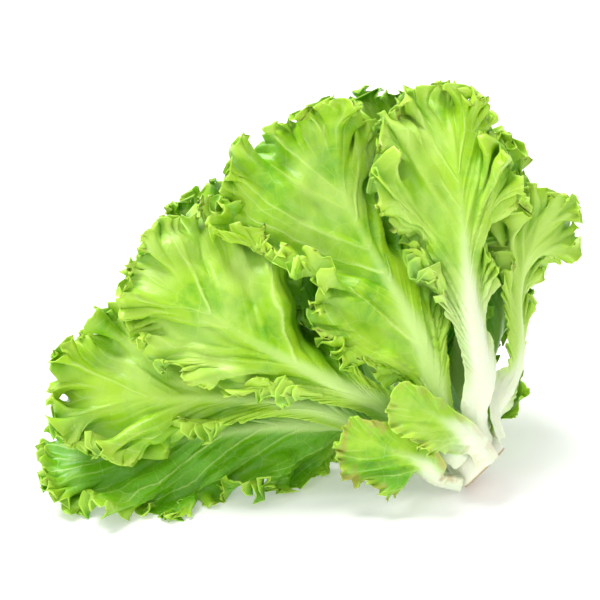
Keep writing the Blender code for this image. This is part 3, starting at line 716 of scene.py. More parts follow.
@dataclass
class Blade:
    """A leaf's fine surface: rows from foot to tip, columns from the left margin to the right."""

    leaf: Leaf
    course: Course
    settled: Array
    shelter: Array  # how hidden each settled point is
    thickness: float = 0.55
    margin_thickness: float = 0.22
    margin_band: float = 7.0  # over which the blade thins out and the teeth stand
    even_rows: float = 0.75  # how far the rows follow the margin's length, not their number
    ruffles: tuple = (
        Ruffle(27.0, 42.0, 17.0, 0.14, 0.15),
        Ruffle(9.2, 98.0, 8.6, 0.24, 0.2),
        Ruffle(4.4, 70.0, 4.0, 0.24, 0.1),
    )
    widest_band: float = 0.75  # of a ruffle, as a share of the wing
    curl_stray: Pair = (0.7, 3.3)  # how far curls stray along the margin, over how many of them
    curl_slant: Pair = (0.5, 4.0)  # how far they slant as they reach in, over how many of them
    curl_size: Triple = (0.7, 0.5, 2.4)  # their middle size, its swing, over how many of them
    least_live: float = 0.04  # the share of its curls and teeth that a calm margin keeps
    live_share: Pair = (0.12, 0.28)  # where along the leaf its margin comes alive
    live_span: Pair = (8.0, 16.0)  # and over which widths of the wing
    crest_height: float = 9.0  # from the bottom of a curl, which the finish paints as deep green shade, to its top, which it paints light
    retreat: float = 0.5  # how far the curls draw the margin in, as a share of a true roll
    underside: float = -0.5  # a blade whose outer side faces down more than this lies on its rib
    tooth_length: float = 3.4
    tooth_depth: float = 2.6
    tooth_stray: Pair = (0.8, 6.0)  # as the curls'
    tooth_size: Triple = (0.65, 0.35, 2.2)
    tooth_middle: float = 0.5  # of a tooth, where the margin would be without it
    lobe_length: float = 19.0
    lobe_depth: float = 3.6
    lobe_stray: Pair = (2.0, 70.0)  # in radians, over how many millimetres
    lobe_middle: float = 0.6
    vein_gap: float = 44.0  # between side veins, along the margin
    vein_sweep: float = 0.38  # how steeply they run up the blade
    vein_stray: Pair = (0.4, 0.5)  # how far they wander, over which share of the leaf
    fewest_veins: int = 3
    vein_rise: float = 0.5  # how far a side vein stands out of the outer side at the rib
    vein_fade: float = 0.75  # the share of that which it has lost at the margin
    vein_width: Pair = (0.9, 1.1)  # at the margin, and what it has beyond that at the rib
    vein_out: Pair = (0.0, 3.0)  # how far out of the rib it starts
    vein_pitch: Pair = (0.0, 26.0)  # and how far apart veins are before they stand out in full
    rung: float = 10.0  # between the puckers in each row
    rung_slant: Pair = (0.4, 1.1)  # least and most slant of a row of puckers
    pucker: float = 0.14  # depth of the puckers, as a share of the way between side veins
    pucker_most: float = 3.2
    pucker_round: Pair = (0.75, 0.7)  # how round they are, across the veins and along them
    pucker_joint: float = 0.3  # depth between the puckers of a row
    pucker_fade: float = 0.55  # the share of their depth that is lost at the margin
    pucker_out: Pair = (0.0, 9.0)
    pucker_column: Pair = (0.55, 0.45)
    pucker_span: Pair = (10.0, 16.0)
    pucker_pitch: Pair = (8.0, 24.0)
    billow: float = 3.4  # height of the blade's slow uneven rises
    billow_length: Pair = (62.0, 38.0)  # along the leaf and across it
    billow_slant: Pair = (0.4, 0.5)
    billow_out: Pair = (5.0, 16.0)
    billow_span: Pair = (12.0, 20.0)

    TRIAL_ROWS = 200
    CELLS = 50  # rows of puckers drawn for each half
    CELLS_USED = 40
    MAP_SCALE = 0.01  # map units in a millimetre
    MAP_STEP = 3.7  # between the maps of leaves whose seeds follow each other

    def __post_init__(self) -> None:
        """Reads the settled surface and works out where each of its points lies on the leaf."""
        rows, columns = self.leaf.detail.value
        share = np.linspace(0.0, 1.0, columns + 1)
        half = share - 0.5 * np.sin(TURN * share) / TURN
        self.rows = self._even_rows(rows)
        self.full = np.concatenate([-half[:0:-1], half])
        self.middle = columns
        self.base = self._read(self.settled, self.rows, half)
        self.hidden = self._read(self.shelter[..., None], self.rows, half)[..., 0]
        self.column = np.broadcast_to(np.abs(self.full)[None, :], self.base.shape[:2])
        self.row = np.broadcast_to(self.rows[:, None], self.base.shape[:2])
        self.right = np.broadcast_to((self.full > 0.0)[None, :], self.base.shape[:2])
        self.share, end = vein_place(self.row, self.column)
        widths = [half_width(end, self.leaf, left) for left in (True, False)]
        self.width = np.where(self.right, widths[1], widths[0])
        self.out = self.width * self.column
        start = vein_place(self.row, 0.0 * self.row)[0]
        self.span = np.hypot(self.width, (end - start) * self.course.length * self.row**3)
        self.inset = (1.0 - self.column) * self.span
        self.ring = self._ring()
        self._veins()

    @staticmethod
    def _read(table: Array, rows: Array, half: Array) -> Array:
        """A table of the coarse grid at rows, and at columns of both halves, from margin to margin."""
        known = np.concatenate([-Weave.COLUMNS[:0:-1], Weave.COLUMNS])
        across = spline_weights(known, np.concatenate([-half[:0:-1], half]))
        strip = np.einsum("cj,rjk->rck", across, table)
        middle = len(half) - 1
        ring = np.concatenate([strip[:, middle::-1], strip[-2::-1, middle:]])
        known = np.concatenate([Weave.ROWS, 2.0 - Weave.ROWS[-2::-1]])
        along = spline_weights(known, np.concatenate([rows, 2.0 - rows[-2::-1]]))
        fine = np.einsum("ri,ijk->rjk", along, ring)
        left, right = fine[: len(rows)], fine[: len(rows) - 2 : -1]
        return np.concatenate([left[:, :0:-1], right], axis=1)

    def _even_rows(self, count: int) -> Array:
        """Rows that lie nearly evenly along the margins."""
        trial = np.linspace(0.0, 1.0, self.TRIAL_ROWS)
        edges = self._read(self.settled, trial, np.array([0.0, 1.0]))[:, [0, 2]]
        steps = np.linalg.norm(np.diff(edges, axis=0), axis=2).mean(1)
        run = np.concatenate([[0.0], np.cumsum(steps)])
        even = np.linspace(0.0, 1.0, count + 1)
        along = np.interp(even * run[-1], run, trial)
        return self.even_rows * along + (1.0 - self.even_rows) * even

    def _drift(self, draw: Draw, run: Array, length: float, which: int = 0) -> Array:
        """A slow uneven rise and fall that is the leaf's own."""
        return drift(self.leaf.seed + draw + which, run, length)

    def _ring(self) -> Array:
        """Millimetres along the margin, up the left side and down the right, for each point."""
        steps = [
            np.concatenate([[0.0], np.cumsum(np.linalg.norm(np.diff(self.base[:, k], axis=0), axis=1))])
            for k in (0, -1)
        ]
        left, right = steps[0], steps[0][-1] + steps[1][-1] - steps[1]
        return np.where(self.right, right[:, None], left[:, None])

    def _veins(self) -> None:
        """Where the side veins lie, as whole numbers of a phase for each half, and the puckers between."""
        length = 0.5 * self.ring.max()
        sweep = self.vein_sweep * self.column
        swept = (self.row - sweep) / (1.0 - sweep)
        stray, waves = self.vein_stray
        self.phases = []
        for k in (0, 1):
            count = max(self.fewest_veins, round(length / self.vein_gap) + k)
            wander = self._drift(Draw.VEIN_PLACE, swept, waves, k) * swept * (1.0 - swept)
            self.phases.append(count * (swept + stray * wander))
        self.phase = np.where(self.right, self.phases[1], self.phases[0])
        steps = np.linalg.norm(np.gradient(self.base, axis=0), axis=2)
        self.pitch = steps / np.maximum(np.gradient(self.phase, axis=0), 1e-3)
        cell = np.floor(self.phase).astype(int) % self.CELLS_USED + self.CELLS * self.right
        random = np.random.default_rng(self.leaf.seed + Draw.PUCKER)
        shift = random.random(2 * self.CELLS)[cell]
        slant = random.uniform(*self.rung_slant, 2 * self.CELLS)[cell]
        slant = np.where(cell % 2, slant, -slant)
        self.rungs = self.out / self.rung + shift + slant * (self.phase % 1.0 - 0.5)

    def _frame(self) -> tuple[Array, Array, Array]:
        """Unit directions at each point: out of the blade, along the margin and towards it."""
        down = np.gradient(self.base, axis=0)
        over = np.gradient(self.base, axis=1)
        normal = unit(np.cross(over, down))
        sign = np.where(self.right, 1.0, -1.0)[..., None]
        along, outward = unit(-sign * down), unit(sign * over)
        for table in (normal, along, outward):
            table[-1] = unit(table[-1] + table[-1, ::-1])
            table[-1, self.middle] = table[-1, self.middle + 1]
        return normal, along, outward

    def _live(self) -> Array:
        """How lively the margin is: hardly at the foot or where the wing is narrow, fully further up."""
        live = (1.0 - self.least_live) * ease(self.share, self.live_share)
        return self.least_live + live * ease(self.span, self.live_span)

    def _curls(self) -> tuple[Array, Array]:
        """How far each point turns out of the blade, in radians, and moves along the margin."""
        live, ring = self._live(), self.ring
        stray, stray_waves = self.curl_stray
        slant, slant_waves = self.curl_slant
        middle, swing, size_waves = self.curl_size
        angle, shift = np.zeros_like(self.share), np.zeros_like(self.share)
        for k, ruffle in enumerate(self.ruffles):
            length = ruffle.length
            band = np.minimum(ruffle.band * self.leaf.ruffle, self.widest_band * self.span)
            turns = ring / length + stray * self._drift(Draw.CURL_PLACE, ring, stray_waves * length, k)
            lean = slant * self._drift(Draw.CURL_SLANT, ring, slant_waves * length, k)
            turns += lean * self.inset / ruffle.band
            swell = middle + swing * self._drift(Draw.CURL_SIZE, ring, size_waves * length, k)
            size = self.leaf.ruffle * live * swell
            late = np.clip(1.0 - self.inset / band, 0.0, 1.0)
            angle += np.radians(ruffle.curl) * size * late * (np.sin(TURN * turns) + ruffle.lean)
            shift -= ruffle.over * band * size * late**2 * np.sin(2.0 * TURN * turns)
        return angle, shift

    def _roll(self, angle: Array) -> tuple[Array, Array]:
        """Where the margin's curls take each point.

        Args:
            angle: how far each point turns out of the blade, in radians.

        Returns:
            How far each point moves out of the blade, and towards the margin.
        """
        along_row = self.span - self.inset
        rise, push = np.zeros_like(angle), np.zeros_like(angle)
        last = angle.shape[1] - 1
        for side, way in ((range(self.middle + 1, last + 1), 1), (range(self.middle - 1, -1, -1), -1)):
            for k in side:
                step = np.abs(along_row[:, k] - along_row[:, k - way])
                turn = 0.5 * (angle[:, k] + angle[:, k - way])
                rise[:, k] = rise[:, k - way] + step * np.sin(turn)
                push[:, k] = push[:, k - way] + step * (np.cos(turn) - 1.0)
        return rise, push

    def _puckers(self) -> Array:
        """Depth of the hollows between the veins."""
        across, along = self.pucker_round
        cell = np.abs(np.sin(TURN * self.phase)) ** across
        rung = np.abs(np.sin(math.pi * self.rungs)) ** along
        depth = np.minimum(self.pucker * self.pitch, self.pucker_most)
        away = ease(self.out, self.pucker_out)
        away = away * (1.0 - self.pucker_fade * ease(self.column, self.pucker_column))
        away = away * ease(self.span, self.pucker_span) * ease(self.pitch, self.pucker_pitch)
        return depth * cell * (self.pucker_joint + (1.0 - self.pucker_joint) * rung) * away

    def _billows(self) -> Array:
        """Slow uneven rises of the blade between the rib and the margin."""
        run = self.share * self.course.length
        long, wide = self.billow_length
        out_slant, run_slant = self.billow_slant
        along = self._drift(Draw.BILLOW_ALONG, run + out_slant * self.out, long)
        slanted = self.out - run_slant * self.share * self.course.length
        across = self._drift(Draw.BILLOW_ACROSS, slanted, wide)
        rise = self.billow * (along + across) * ease(self.out, self.billow_out)
        return rise * ease(self.span, self.billow_span)

    def surface(self) -> Array:
        """The leaf's middle surface with its ruffles, teeth and puckers, in millimetres."""
        normal, along, outward = self._frame()
        angle, shift = self._curls()
        rise, push = self._roll(angle)
        teeth = self._teeth() * self._live()
        self.crest = np.clip(0.5 + rise / self.crest_height, 0.0, 1.0)
        rise += teeth * np.sin(angle) + self._billows() - self._puckers()
        push = self.retreat * push + teeth * np.cos(angle)
        points = self.base + normal * rise[..., None] + along * shift[..., None]
        points += outward * push[..., None]
        on_rib = self._rib() * (normal[..., 2] < self.underside)
        lowest = HEAD.floor + 0.5 * self.thickness + on_rib
        points[..., 2] = np.maximum(points[..., 2], lowest)
        return points

    def _teeth(self) -> Array:
        """How far the margin's teeth and lobes stand out."""
        ring, length = self.ring, self.tooth_length
        stray, stray_waves = self.tooth_stray
        middle, swing, size_waves = self.tooth_size
        lobe_stray, lobe_run = self.lobe_stray
        turns = ring / length + stray * self._drift(Draw.TOOTH_PLACE, ring, stray_waves * length)
        tooth = 1.0 - np.abs(2.0 * (turns % 1.0) - 1.0)
        tooth *= middle + swing * self._drift(Draw.TOOTH_SIZE, ring, size_waves * length)
        sway = lobe_stray * self._drift(Draw.LOBE_PLACE, ring, lobe_run)
        lobes = np.abs(np.sin(TURN * ring / self.lobe_length + sway))
        stand = self.tooth_depth * (tooth - self.tooth_middle) + self.lobe_depth * (lobes - self.lobe_middle)
        return smooth(1.0 - self.inset / self.margin_band) * stand

    def _rib(self) -> Array:
        """How far the rib stands out of the outer side."""
        return rib_depth(self.share, self.out)

    def depth(self) -> Array:
        """The blade's thickness at each point, with its rib and side veins, in millimetres."""
        gap = np.abs(self.phase - np.round(self.phase)) * self.pitch
        least, more = self.vein_width
        vein = np.exp(-((gap / (least + more * (1.0 - self.column))) ** 2))
        vein = vein * (1.0 - self.vein_fade * self.column)
        ridge = self.vein_rise * vein * ease(self.out, self.vein_out) * ease(self.pitch, self.vein_pitch)
        thin = self.thickness - self.margin_thickness
        plain = self.margin_thickness + thin * smooth(self.inset / self.margin_band)
        return plain + self._rib() + ridge

    def build(self) -> bpy.types.Object:
        """Models the leaf as a closed mesh object, with the maps that its finish reads."""
        obj = self._grid()
        self._maps(obj.data)
        self._join_tip(obj)
        solidify = obj.modifiers.new("thickness", "SOLIDIFY")
        most = float(self.depth().max())
        solidify.thickness = most * MM
        solidify.offset = 1.0
        solidify.vertex_group = "depth"
        bpy.context.view_layer.objects.active = obj
        bpy.ops.object.modifier_apply(modifier=solidify.name)
        obj.vertex_groups.clear()
        self._rest(obj.data)
        bpy.ops.object.shade_smooth()
        return obj

    @staticmethod
    def _rest(mesh: bpy.types.Mesh) -> None:
        """Presses flat what would reach under the surface that the head lies on."""
        flat = np.empty(len(mesh.vertices) * 3)
        mesh.vertices.foreach_get("co", flat)
        flat[2::3] = np.maximum(flat[2::3], 0.0)
        mesh.vertices.foreach_set("co", flat)

    def _grid(self) -> bpy.types.Object:
        """A grid primitive shaped into the leaf, with its thickness as a vertex group."""
        bpy.ops.object.select_all(action="DESELECT")
        rows, width = self.share.shape
        cells = {"x_subdivisions": width - 1, "y_subdivisions": rows - 1}
        bpy.ops.mesh.primitive_grid_add(**cells, size=1.0, calc_uvs=False)
        obj = bpy.context.active_object
        obj.name = obj.data.name = self.leaf.name.replace("leaf_", "blade_")
        obj.data.vertices.foreach_set("co", HEAD.place(self.surface()).ravel())
        group, depth = obj.vertex_groups.new(name="depth"), self.depth().ravel()
        for index, weight in enumerate((depth / depth.max()).tolist()):
            group.add([index], weight, "REPLACE")
        return obj

    def _maps(self, mesh: bpy.types.Mesh) -> None:
        """Writes where each point lies on the leaf, as two maps, and its qualities, as attributes."""
        width = self.share.shape[1]
        corner = np.empty(len(mesh.loops), int)
        mesh.loops.foreach_get("vertex_index", corner)
        row, column = corner // width, corner % width
        face_column = column.reshape(-1, 4).min(1).repeat(4)
        right = face_column >= self.middle
        phase = np.where(right, self.phases[1][row, column], self.phases[0][row, column])
        self._map(mesh, "net", phase, self.column[row, column])
        signed = np.where(right, self.MAP_SCALE, -self.MAP_SCALE) * self.out[row, column]
        run = self.MAP_SCALE * self.share[row, column] * self.course.length
        self._map(mesh, "blade", signed + self.MAP_STEP * self.leaf.seed, run)
        plain = {
            "pitch": self.pitch,
            "inset": self.inset,
            "rib": self._rib() / HEAD.rib_depth,
            "pucker": self._puckers() / self.pucker_most,
            "crest": self.crest,
            "hidden": self.hidden,
            "tone": np.full_like(self.share, self.leaf.tone - 0.5),
            "white": 1.0 - self.share / self.leaf.pale,
            "wear": np.full_like(self.share, self.leaf.wear),
        }
        for name, values in plain.items():
            mesh.attributes.new(name, "FLOAT", "POINT").data.foreach_set("value", values.ravel())

    @staticmethod
    def _map(mesh: bpy.types.Mesh, name: str, first: Array, second: Array) -> None:
        """Adds one map of two coordinates at each corner."""
        pairs = np.stack([first, second], axis=1)
        mesh.uv_layers.new(name=name).data.foreach_set("uv", pairs.ravel())

    def _join_tip(self, obj: bpy.types.Object) -> None:
        """Joins the two halves along the tip's vein, which is the grid's last row."""
        mesh = obj.data
        last = np.zeros(len(mesh.vertices), bool)
        last[-self.share.shape[1] :] = True
        for part in (mesh.polygons, mesh.edges):
            part.foreach_set("select", np.zeros(len(part), bool))
        mesh.vertices.foreach_set("select", last)
        bpy.ops.object.mode_set(mode="EDIT")
        bpy.ops.mesh.remove_doubles(threshold=TINY)
        bpy.ops.object.mode_set(mode="OBJECT")


def joined(operation: str, reflected: bool = False) -> Callable[["Signal", object], "Signal"]:
    """An operator that joins a signal with another value by a Math node.

    Args:
        operation: what the node does.
        reflected: whether the signal stands on the operator's right.

    Returns:
        The operator, as a method of Signal.
    """

    def operator(signal: "Signal", other: object) -> "Signal":
        """The operation's result."""
        return signal.bench.maths(operation, *((other, signal) if reflected else (signal, other)))

    return operator


class Signal:
    """A node's output that Python's operators work on, by adding Math nodes."""

    def __init__(self, bench: "Bench", socket: bpy.types.NodeSocket) -> None:
        """Wraps an output socket of a bench's node."""
        self.bench, self.socket = bench, socket

    def __neg__(self) -> "Signal":
        """The signal with its sign turned."""
        return self.bench.maths("MULTIPLY", self, -1.0)

    def __abs__(self) -> "Signal":
        """The size without the sign."""
        return self.bench.maths("ABSOLUTE", self)

    __add__ = __radd__ = joined("ADD")
    __sub__, __rsub__ = joined("SUBTRACT"), joined("SUBTRACT", reflected=True)
    __mul__ = __rmul__ = joined("MULTIPLY")
    __truediv__, __rtruediv__ = joined("DIVIDE"), joined("DIVIDE", reflected=True)
    __pow__, __rpow__ = joined("POWER"), joined("POWER", reflected=True)


class Bench:
    """Adds nodes to one material and joins them up."""

    BUMP_STRENGTH = 0.5

    def __init__(self, name: str) -> None:
        """Starts a material with an empty node tree."""
        self.material = bpy.data.materials.new(name)
        self.material.use_nodes = True
        self.tree = self.material.node_tree
        self.tree.nodes.clear()

    def node(self, kind: str, settings: dict | None = None, inputs: dict | None = None) -> bpy.types.Node:
        """Adds a node.

        Args:
            kind: the node's type.
            settings: its own settings, set first.
            inputs: values or signals for its sockets, by name or number.

        Returns:
            The node.
        """
        made = self.tree.nodes.new(kind)
        for key, value in (settings or {}).items():
            setattr(made, key, value)
        for key, value in (inputs or {}).items():
            if isinstance(value, Signal):
                self.tree.links.new(value.socket, made.inputs[key])
            else:
                made.inputs[key].default_value = value
        return made

    def signal(self, node: bpy.types.Node, output: object = 0) -> Signal:
        """One output of a node."""
        return Signal(self, node.outputs[output])

    def maths(self, operation: str, *values: object) -> Signal:
        """A Math node on signals and numbers."""
        return self.signal(self.node("ShaderNodeMath", {"operation": operation}, dict(enumerate(values))))

    def attribute(self, name: str) -> Signal:
        """One of the piece's plain attributes."""
        return self.signal(self.node("ShaderNodeAttribute", {"attribute_name": name}), "Fac")

    def uv(self, name: str) -> Signal:
        """One of the piece's maps, as a vector."""
        return self.signal(self.node("ShaderNodeUVMap", {"uv_map": name}))

    def split(self, vector: Signal) -> tuple[Signal, Signal]:
        """The first two coordinates of a vector."""
        parts = self.node("ShaderNodeSeparateXYZ", None, {0: vector})
        return self.signal(parts, 0), self.signal(parts, 1)

    def bell(self, value: Signal) -> Signal:
        """1 where a value is 0, falling away evenly on both sides of it."""
        return self.maths("EXPONENT", -(value**2.0))

    def noise(self, vector: Signal, scale: float, detail: float = 2.0) -> Signal:
        """Smooth noise from 0 to 1."""
        inputs = {"Vector": vector, "Scale": scale, "Detail": detail}
        return self.signal(self.node("ShaderNodeTexNoise", None, inputs))

    def step(self, value: Signal, low: float, high: float) -> Signal:
        """0 below low and 1 above high, with an even rise between; falls where low is the larger."""
        rises = low < high
        inputs = {0: value, 1: min(low, high), 2: max(low, high), 3: float(not rises), 4: float(rises)}
        return self.signal(self.node("ShaderNodeMapRange", {"interpolation_type": "SMOOTHSTEP"}, inputs))

    def mix(self, factor: object, first: object, second: object) -> Signal:
        """Mixes two colours."""
        inputs = {0: factor, 6: self._colour(first), 7: self._colour(second)}
        return self.signal(self.node("ShaderNodeMix", {"data_type": "RGBA"}, inputs), 2)

    def bump(self, height: Signal, distance: float) -> Signal:
        """A normal that follows a height, its full rise given in metres."""
        inputs = {"Strength": self.BUMP_STRENGTH, "Distance": distance, "Height": height}
        return self.signal(self.node("ShaderNodeBump", None, inputs))

    @staticmethod
    def _colour(value: object) -> object:
        """A colour with its alpha, or the signal as it is."""
        return value if isinstance(value, Signal) else (*value, 1.0)

    def finish(self, inputs: dict) -> bpy.types.Material:
        """Adds the Principled shader and the output, and returns the material."""
        shader = self.node("ShaderNodeBsdfPrincipled", None, inputs)
        self.node("ShaderNodeOutputMaterial", None, {"Surface": self.signal(shader)})
        return self.material


@dataclass(frozen=True)
class LeafFinish:
    """A moist green blade with pale veins, a white foot and a yellowish rim, with painted shade and painted
    light.

    Noises are given as their scale on the blade's map, of which a unit is 100 mm, and their detail.
    Pairs that a step reads say where it begins and where it is full.
    """

    slot: Slot
    # painted shade: the dark green laid where other leaves hide the blade from the light
    painted_shade: Triple = (0.08, 0.37, 0.001)
    # the leaf's deep green, also laid as painted shade in the puckers and in the curls' hollows
    deep: Triple = (0.15, 0.45, 0.002)
    fresh: Triple = (0.37, 0.64, 0.012)
    light: Triple = (0.49, 0.74, 0.05)
    # a milky tint in random patches: partly the leaf's own pale tone, partly painted sheen
    milky_tint_and_sheen: Triple = (0.57, 0.77, 0.19)
    vein: Triple = (0.62, 0.82, 0.24)
    rib: Triple = (0.60, 0.81, 0.27)
    foot: Triple = (0.86, 0.91, 0.72)
    rim: Triple = (0.56, 0.86, 0.10)
    brown: Triple = (0.50, 0.33, 0.10)
    clouds: Pair = (3.0, 3.0)
    patches: Pair = (2.1, 3.0)
    mottle: Pair = (24.0, 2.0)
    grain: Pair = (150.0, 2.0)
    stains: Pair = (17.0, 4.0)
    worn_lines: Pair = (7.0, 2.0)
    wander: Pair = (12.0, 2.0)  # the side veins' small bends
    sway: Pair = (3.5, 1.0)  # and their large ones
    wander_share: float = 0.12  # of the way to the next vein
    sway_share: float = 0.9
    vein_half_width: Pair = (0.24, 0.013)  # millimetres at the margin, and more for each inwards
    vein_pitch: Pair = (5.0, 26.0)  # millimetres between veins for them to show
    innermost: float = 60.0  # millimetres from the margin past which veins get no broader
    fork_half_width: float = 0.45
    fork_column: Pair = (0.3, 0.6)
    nets: tuple = ((10.0, 0.045), (27.0, 0.07))  # scale and line width of the coarse and fine net
    net_random: float = 0.85
    net_bend: float = 0.012
    net_bend_scale: float = 30.0
    line_core: float = 0.2  # the share of a line's width where it is full
    tone_swing: float = 0.45
    relief_depth: float = 0.35  # millimetres
    roughness: float = 0.38
    roughness_swing: float = 0.25
    gloss: float = 0.42
    wax: float = 0.08
    wax_roughness: float = 0.28
    glow: float = 0.75
    glow_reach: Triple = (0.8, 1.0, 0.4)
    glow_depth: float = 0.22  # millimetres

    def material(self) -> bpy.types.Material:
        """Builds the material."""
        bench = Bench(self.slot.value)
        blade = bench.uv("blade")
        pitch, inset, rib, pucker, crest, hidden, tone, white, wear = (
            bench.attribute(name)
            for name in ("pitch", "inset", "rib", "pucker", "crest", "hidden", "tone", "white", "wear")
        )
        inner = bench.maths("MINIMUM", inset, self.innermost)
        side_vein, fork = self._veins(bench, blade, pitch, inner)
        coarse, fine = self._nets(bench, blade)
        clouds, patches, mottle, grain, stains, worn = (
            bench.noise(blade, *noise)
            for noise in (self.clouds, self.patches, self.mottle, self.grain, self.stains, self.worn_lines)
        )
        tone = self.tone_swing * tone
        on_rib = bench.step(rib, 0.06, 0.50)
        low = bench.step(white + 0.5 * (clouds - 0.5) + 0.35 * on_rib, 0.0, 0.95)
        # painted shade in the curls' hollows and painted light on their crests
        painted_curl_shading = bench.mix(bench.step(crest, 0.15, 0.75), self.deep, self.light)
        near_edge = bench.step(inset, 9.0, 0.5)
        # The share of each tint that lies over the ones before it
        layers = (
            (bench.step(clouds + 0.25 * (mottle - 0.5) + tone, 0.34, 0.66), self.fresh),
            (0.55 * bench.step(clouds, 0.5, 0.75), self.light),
            # milky patches: the leaf's pale tone and painted sheen
            (0.6 * bench.step(patches + tone, 0.52, 0.74), self.milky_tint_and_sheen),
            # painted shade in the puckers' hollows
            (0.35 * pucker, self.deep),
            (0.12 * fine, self.light),
            ((0.05 + 0.16 * bench.step(worn, 0.35, 0.65)) * coarse, self.vein),
            (0.36 * fork, self.vein),
            ((0.30 + 0.007 * inner) * side_vein, self.vein),
            # painted curl shading near the margin
            (0.6 * bench.step(inset, 10.0, 0.5), painted_curl_shading),
            (0.6 * bench.step(inset, 1.0, 0.2), self.rim),
            (0.85 * on_rib, self.rib),
            (0.92 * low, self.foot),
            # painted shade where other leaves hide the blade
            (0.9 * bench.step(hidden, 0.56, 0.90), self.painted_shade),
            (0.8 * wear * bench.step(stains + 0.22 * near_edge, 0.60, 0.80), self.brown),
        )
        colour = self.deep
        for share, tint in layers:
            colour = bench.mix(share, colour, tint)
        relief = 0.35 * grain + 0.6 * side_vein + 0.4 * coarse + 0.25 * fine + 0.5 * mottle
        return bench.finish({
            "Base Color": colour,
            "Roughness": self.roughness + self.roughness_swing * (mottle - 0.5) + 0.08 * low,
            "Normal": bench.bump(relief, self.relief_depth * MM),
            "Subsurface Weight": self.glow,
            "Subsurface Radius": self.glow_reach,
            "Subsurface Scale": self.glow_depth * MM,
            "Specular IOR Level": self.gloss,
            "Coat Weight": self.wax,
            "Coat Roughness": self.wax_roughness,
        })

    def _veins(self, bench: Bench, blade: Signal, pitch: Signal, inner: Signal) -> tuple[Signal, Signal]:
        """Where the side veins run, and the forks between them.

        Args:
            bench: adds the nodes.
            blade: the blade's map.
            pitch: millimetres from one side vein to the next.
            inner: millimetres from the margin, up to the innermost ones.

        Returns:
            Masks of the side veins and of the forks.
        """
        phase, column = bench.split(bench.uv("net"))
        wander, sway = (bench.noise(blade, *noise) - 0.5 for noise in (self.wander, self.sway))
        phase = phase + self.wander_share * wander + self.sway_share * sway * column
        halfway = 2.0 * phase
        side_gap = abs(phase - bench.maths("ROUND", phase)) * pitch
        fork_gap = 0.5 * abs(halfway - bench.maths("ROUND", halfway)) * pitch
        least, more = self.vein_half_width
        side = bench.bell(side_gap / (least + more * inner)) * bench.step(pitch, *self.vein_pitch)
        return side, bench.bell(fork_gap / self.fork_half_width) * bench.step(column, *self.fork_column)

    def _nets(self, bench: Bench, blade: Signal) -> list[Signal]:
        """Masks of the coarse and the fine net of small veins."""
        waves = bench.node("ShaderNodeTexNoise", None, {"Vector": blade, "Scale": self.net_bend_scale})
        inputs = {0: self.net_bend, 4: blade, 5: bench.signal(waves, "Color")}
        bent = bench.signal(bench.node("ShaderNodeMix", {"data_type": "VECTOR"}, inputs), 1)
        nets = []
        for scale, line in self.nets:
            cells = bench.node(
                "ShaderNodeTexVoronoi",
                {"feature": "DISTANCE_TO_EDGE", "voronoi_dimensions": "2D"},
                {"Vector": bent, "Scale": scale, "Randomness": self.net_random},
            )
            nets.append(bench.step(bench.signal(cells), line, self.line_core * line))
        return nets


@dataclass(frozen=True)
class StemFinish:
    """A white stem, pale green higher up, with a browned and ringed cut."""

    white: Triple = (0.88, 0.90, 0.74)
    green: Triple = (0.70, 0.84, 0.42)
    tan: Triple = (0.60, 0.42, 0.20)
    brown: Triple = (0.42, 0.29, 0.13)
    clouds: Pair = (90.0, 3.0)  # scale in a metre, and detail
    grain: Pair = (900.0, 2.0)
    green_height: Pair = (10.0, 40.0)  # millimetres above the cut
    green_wander: float = 9.0
    cut_height: Pair = (1.6, 0.2)
    ring_rate: float = 3.4  # radians in a millimetre
    ring_wander: float = 5.0
    stain: Pair = (0.75, 1.15)
    relief_depth: float = 0.4  # millimetres
    roughness: float = 0.42
    roughness_swing: float = 0.25
    glow: float = 0.5
    glow_reach: Triple = (1.0, 1.0, 0.9)
    glow_depth: float = 2.0  # millimetres

    def material(self) -> bpy.types.Material:
        """Builds the material."""
        bench = Bench(Slot.STEM.value)
        place = bench.signal(bench.node("ShaderNodeTexCoord"), "Object")
        height, radius = bench.attribute("height"), bench.attribute("radius")
        clouds, grain = bench.noise(place, *self.clouds), bench.noise(place, *self.grain)
        rings = bench.maths("SINE", radius * self.ring_rate + self.ring_wander * clouds)
        cut = bench.mix(0.5 + 0.35 * rings, self.white, self.tan)
        cut = bench.mix(bench.step(clouds + 0.05 * radius, *self.stain), cut, self.brown)
        risen = bench.step(height + self.green_wander * clouds, *self.green_height)
        colour = bench.mix(risen, self.white, self.green)
        return bench.finish({
            "Base Color": bench.mix(bench.step(height, *self.cut_height), colour, cut),
            "Roughness": self.roughness + self.roughness_swing * (clouds - 0.5),
            "Normal": bench.bump(grain + 0.6 * clouds, self.relief_depth * MM),
            "Subsurface Weight": self.glow,
            "Subsurface Radius": self.glow_reach,
            "Subsurface Scale": self.glow_depth * MM,
        })


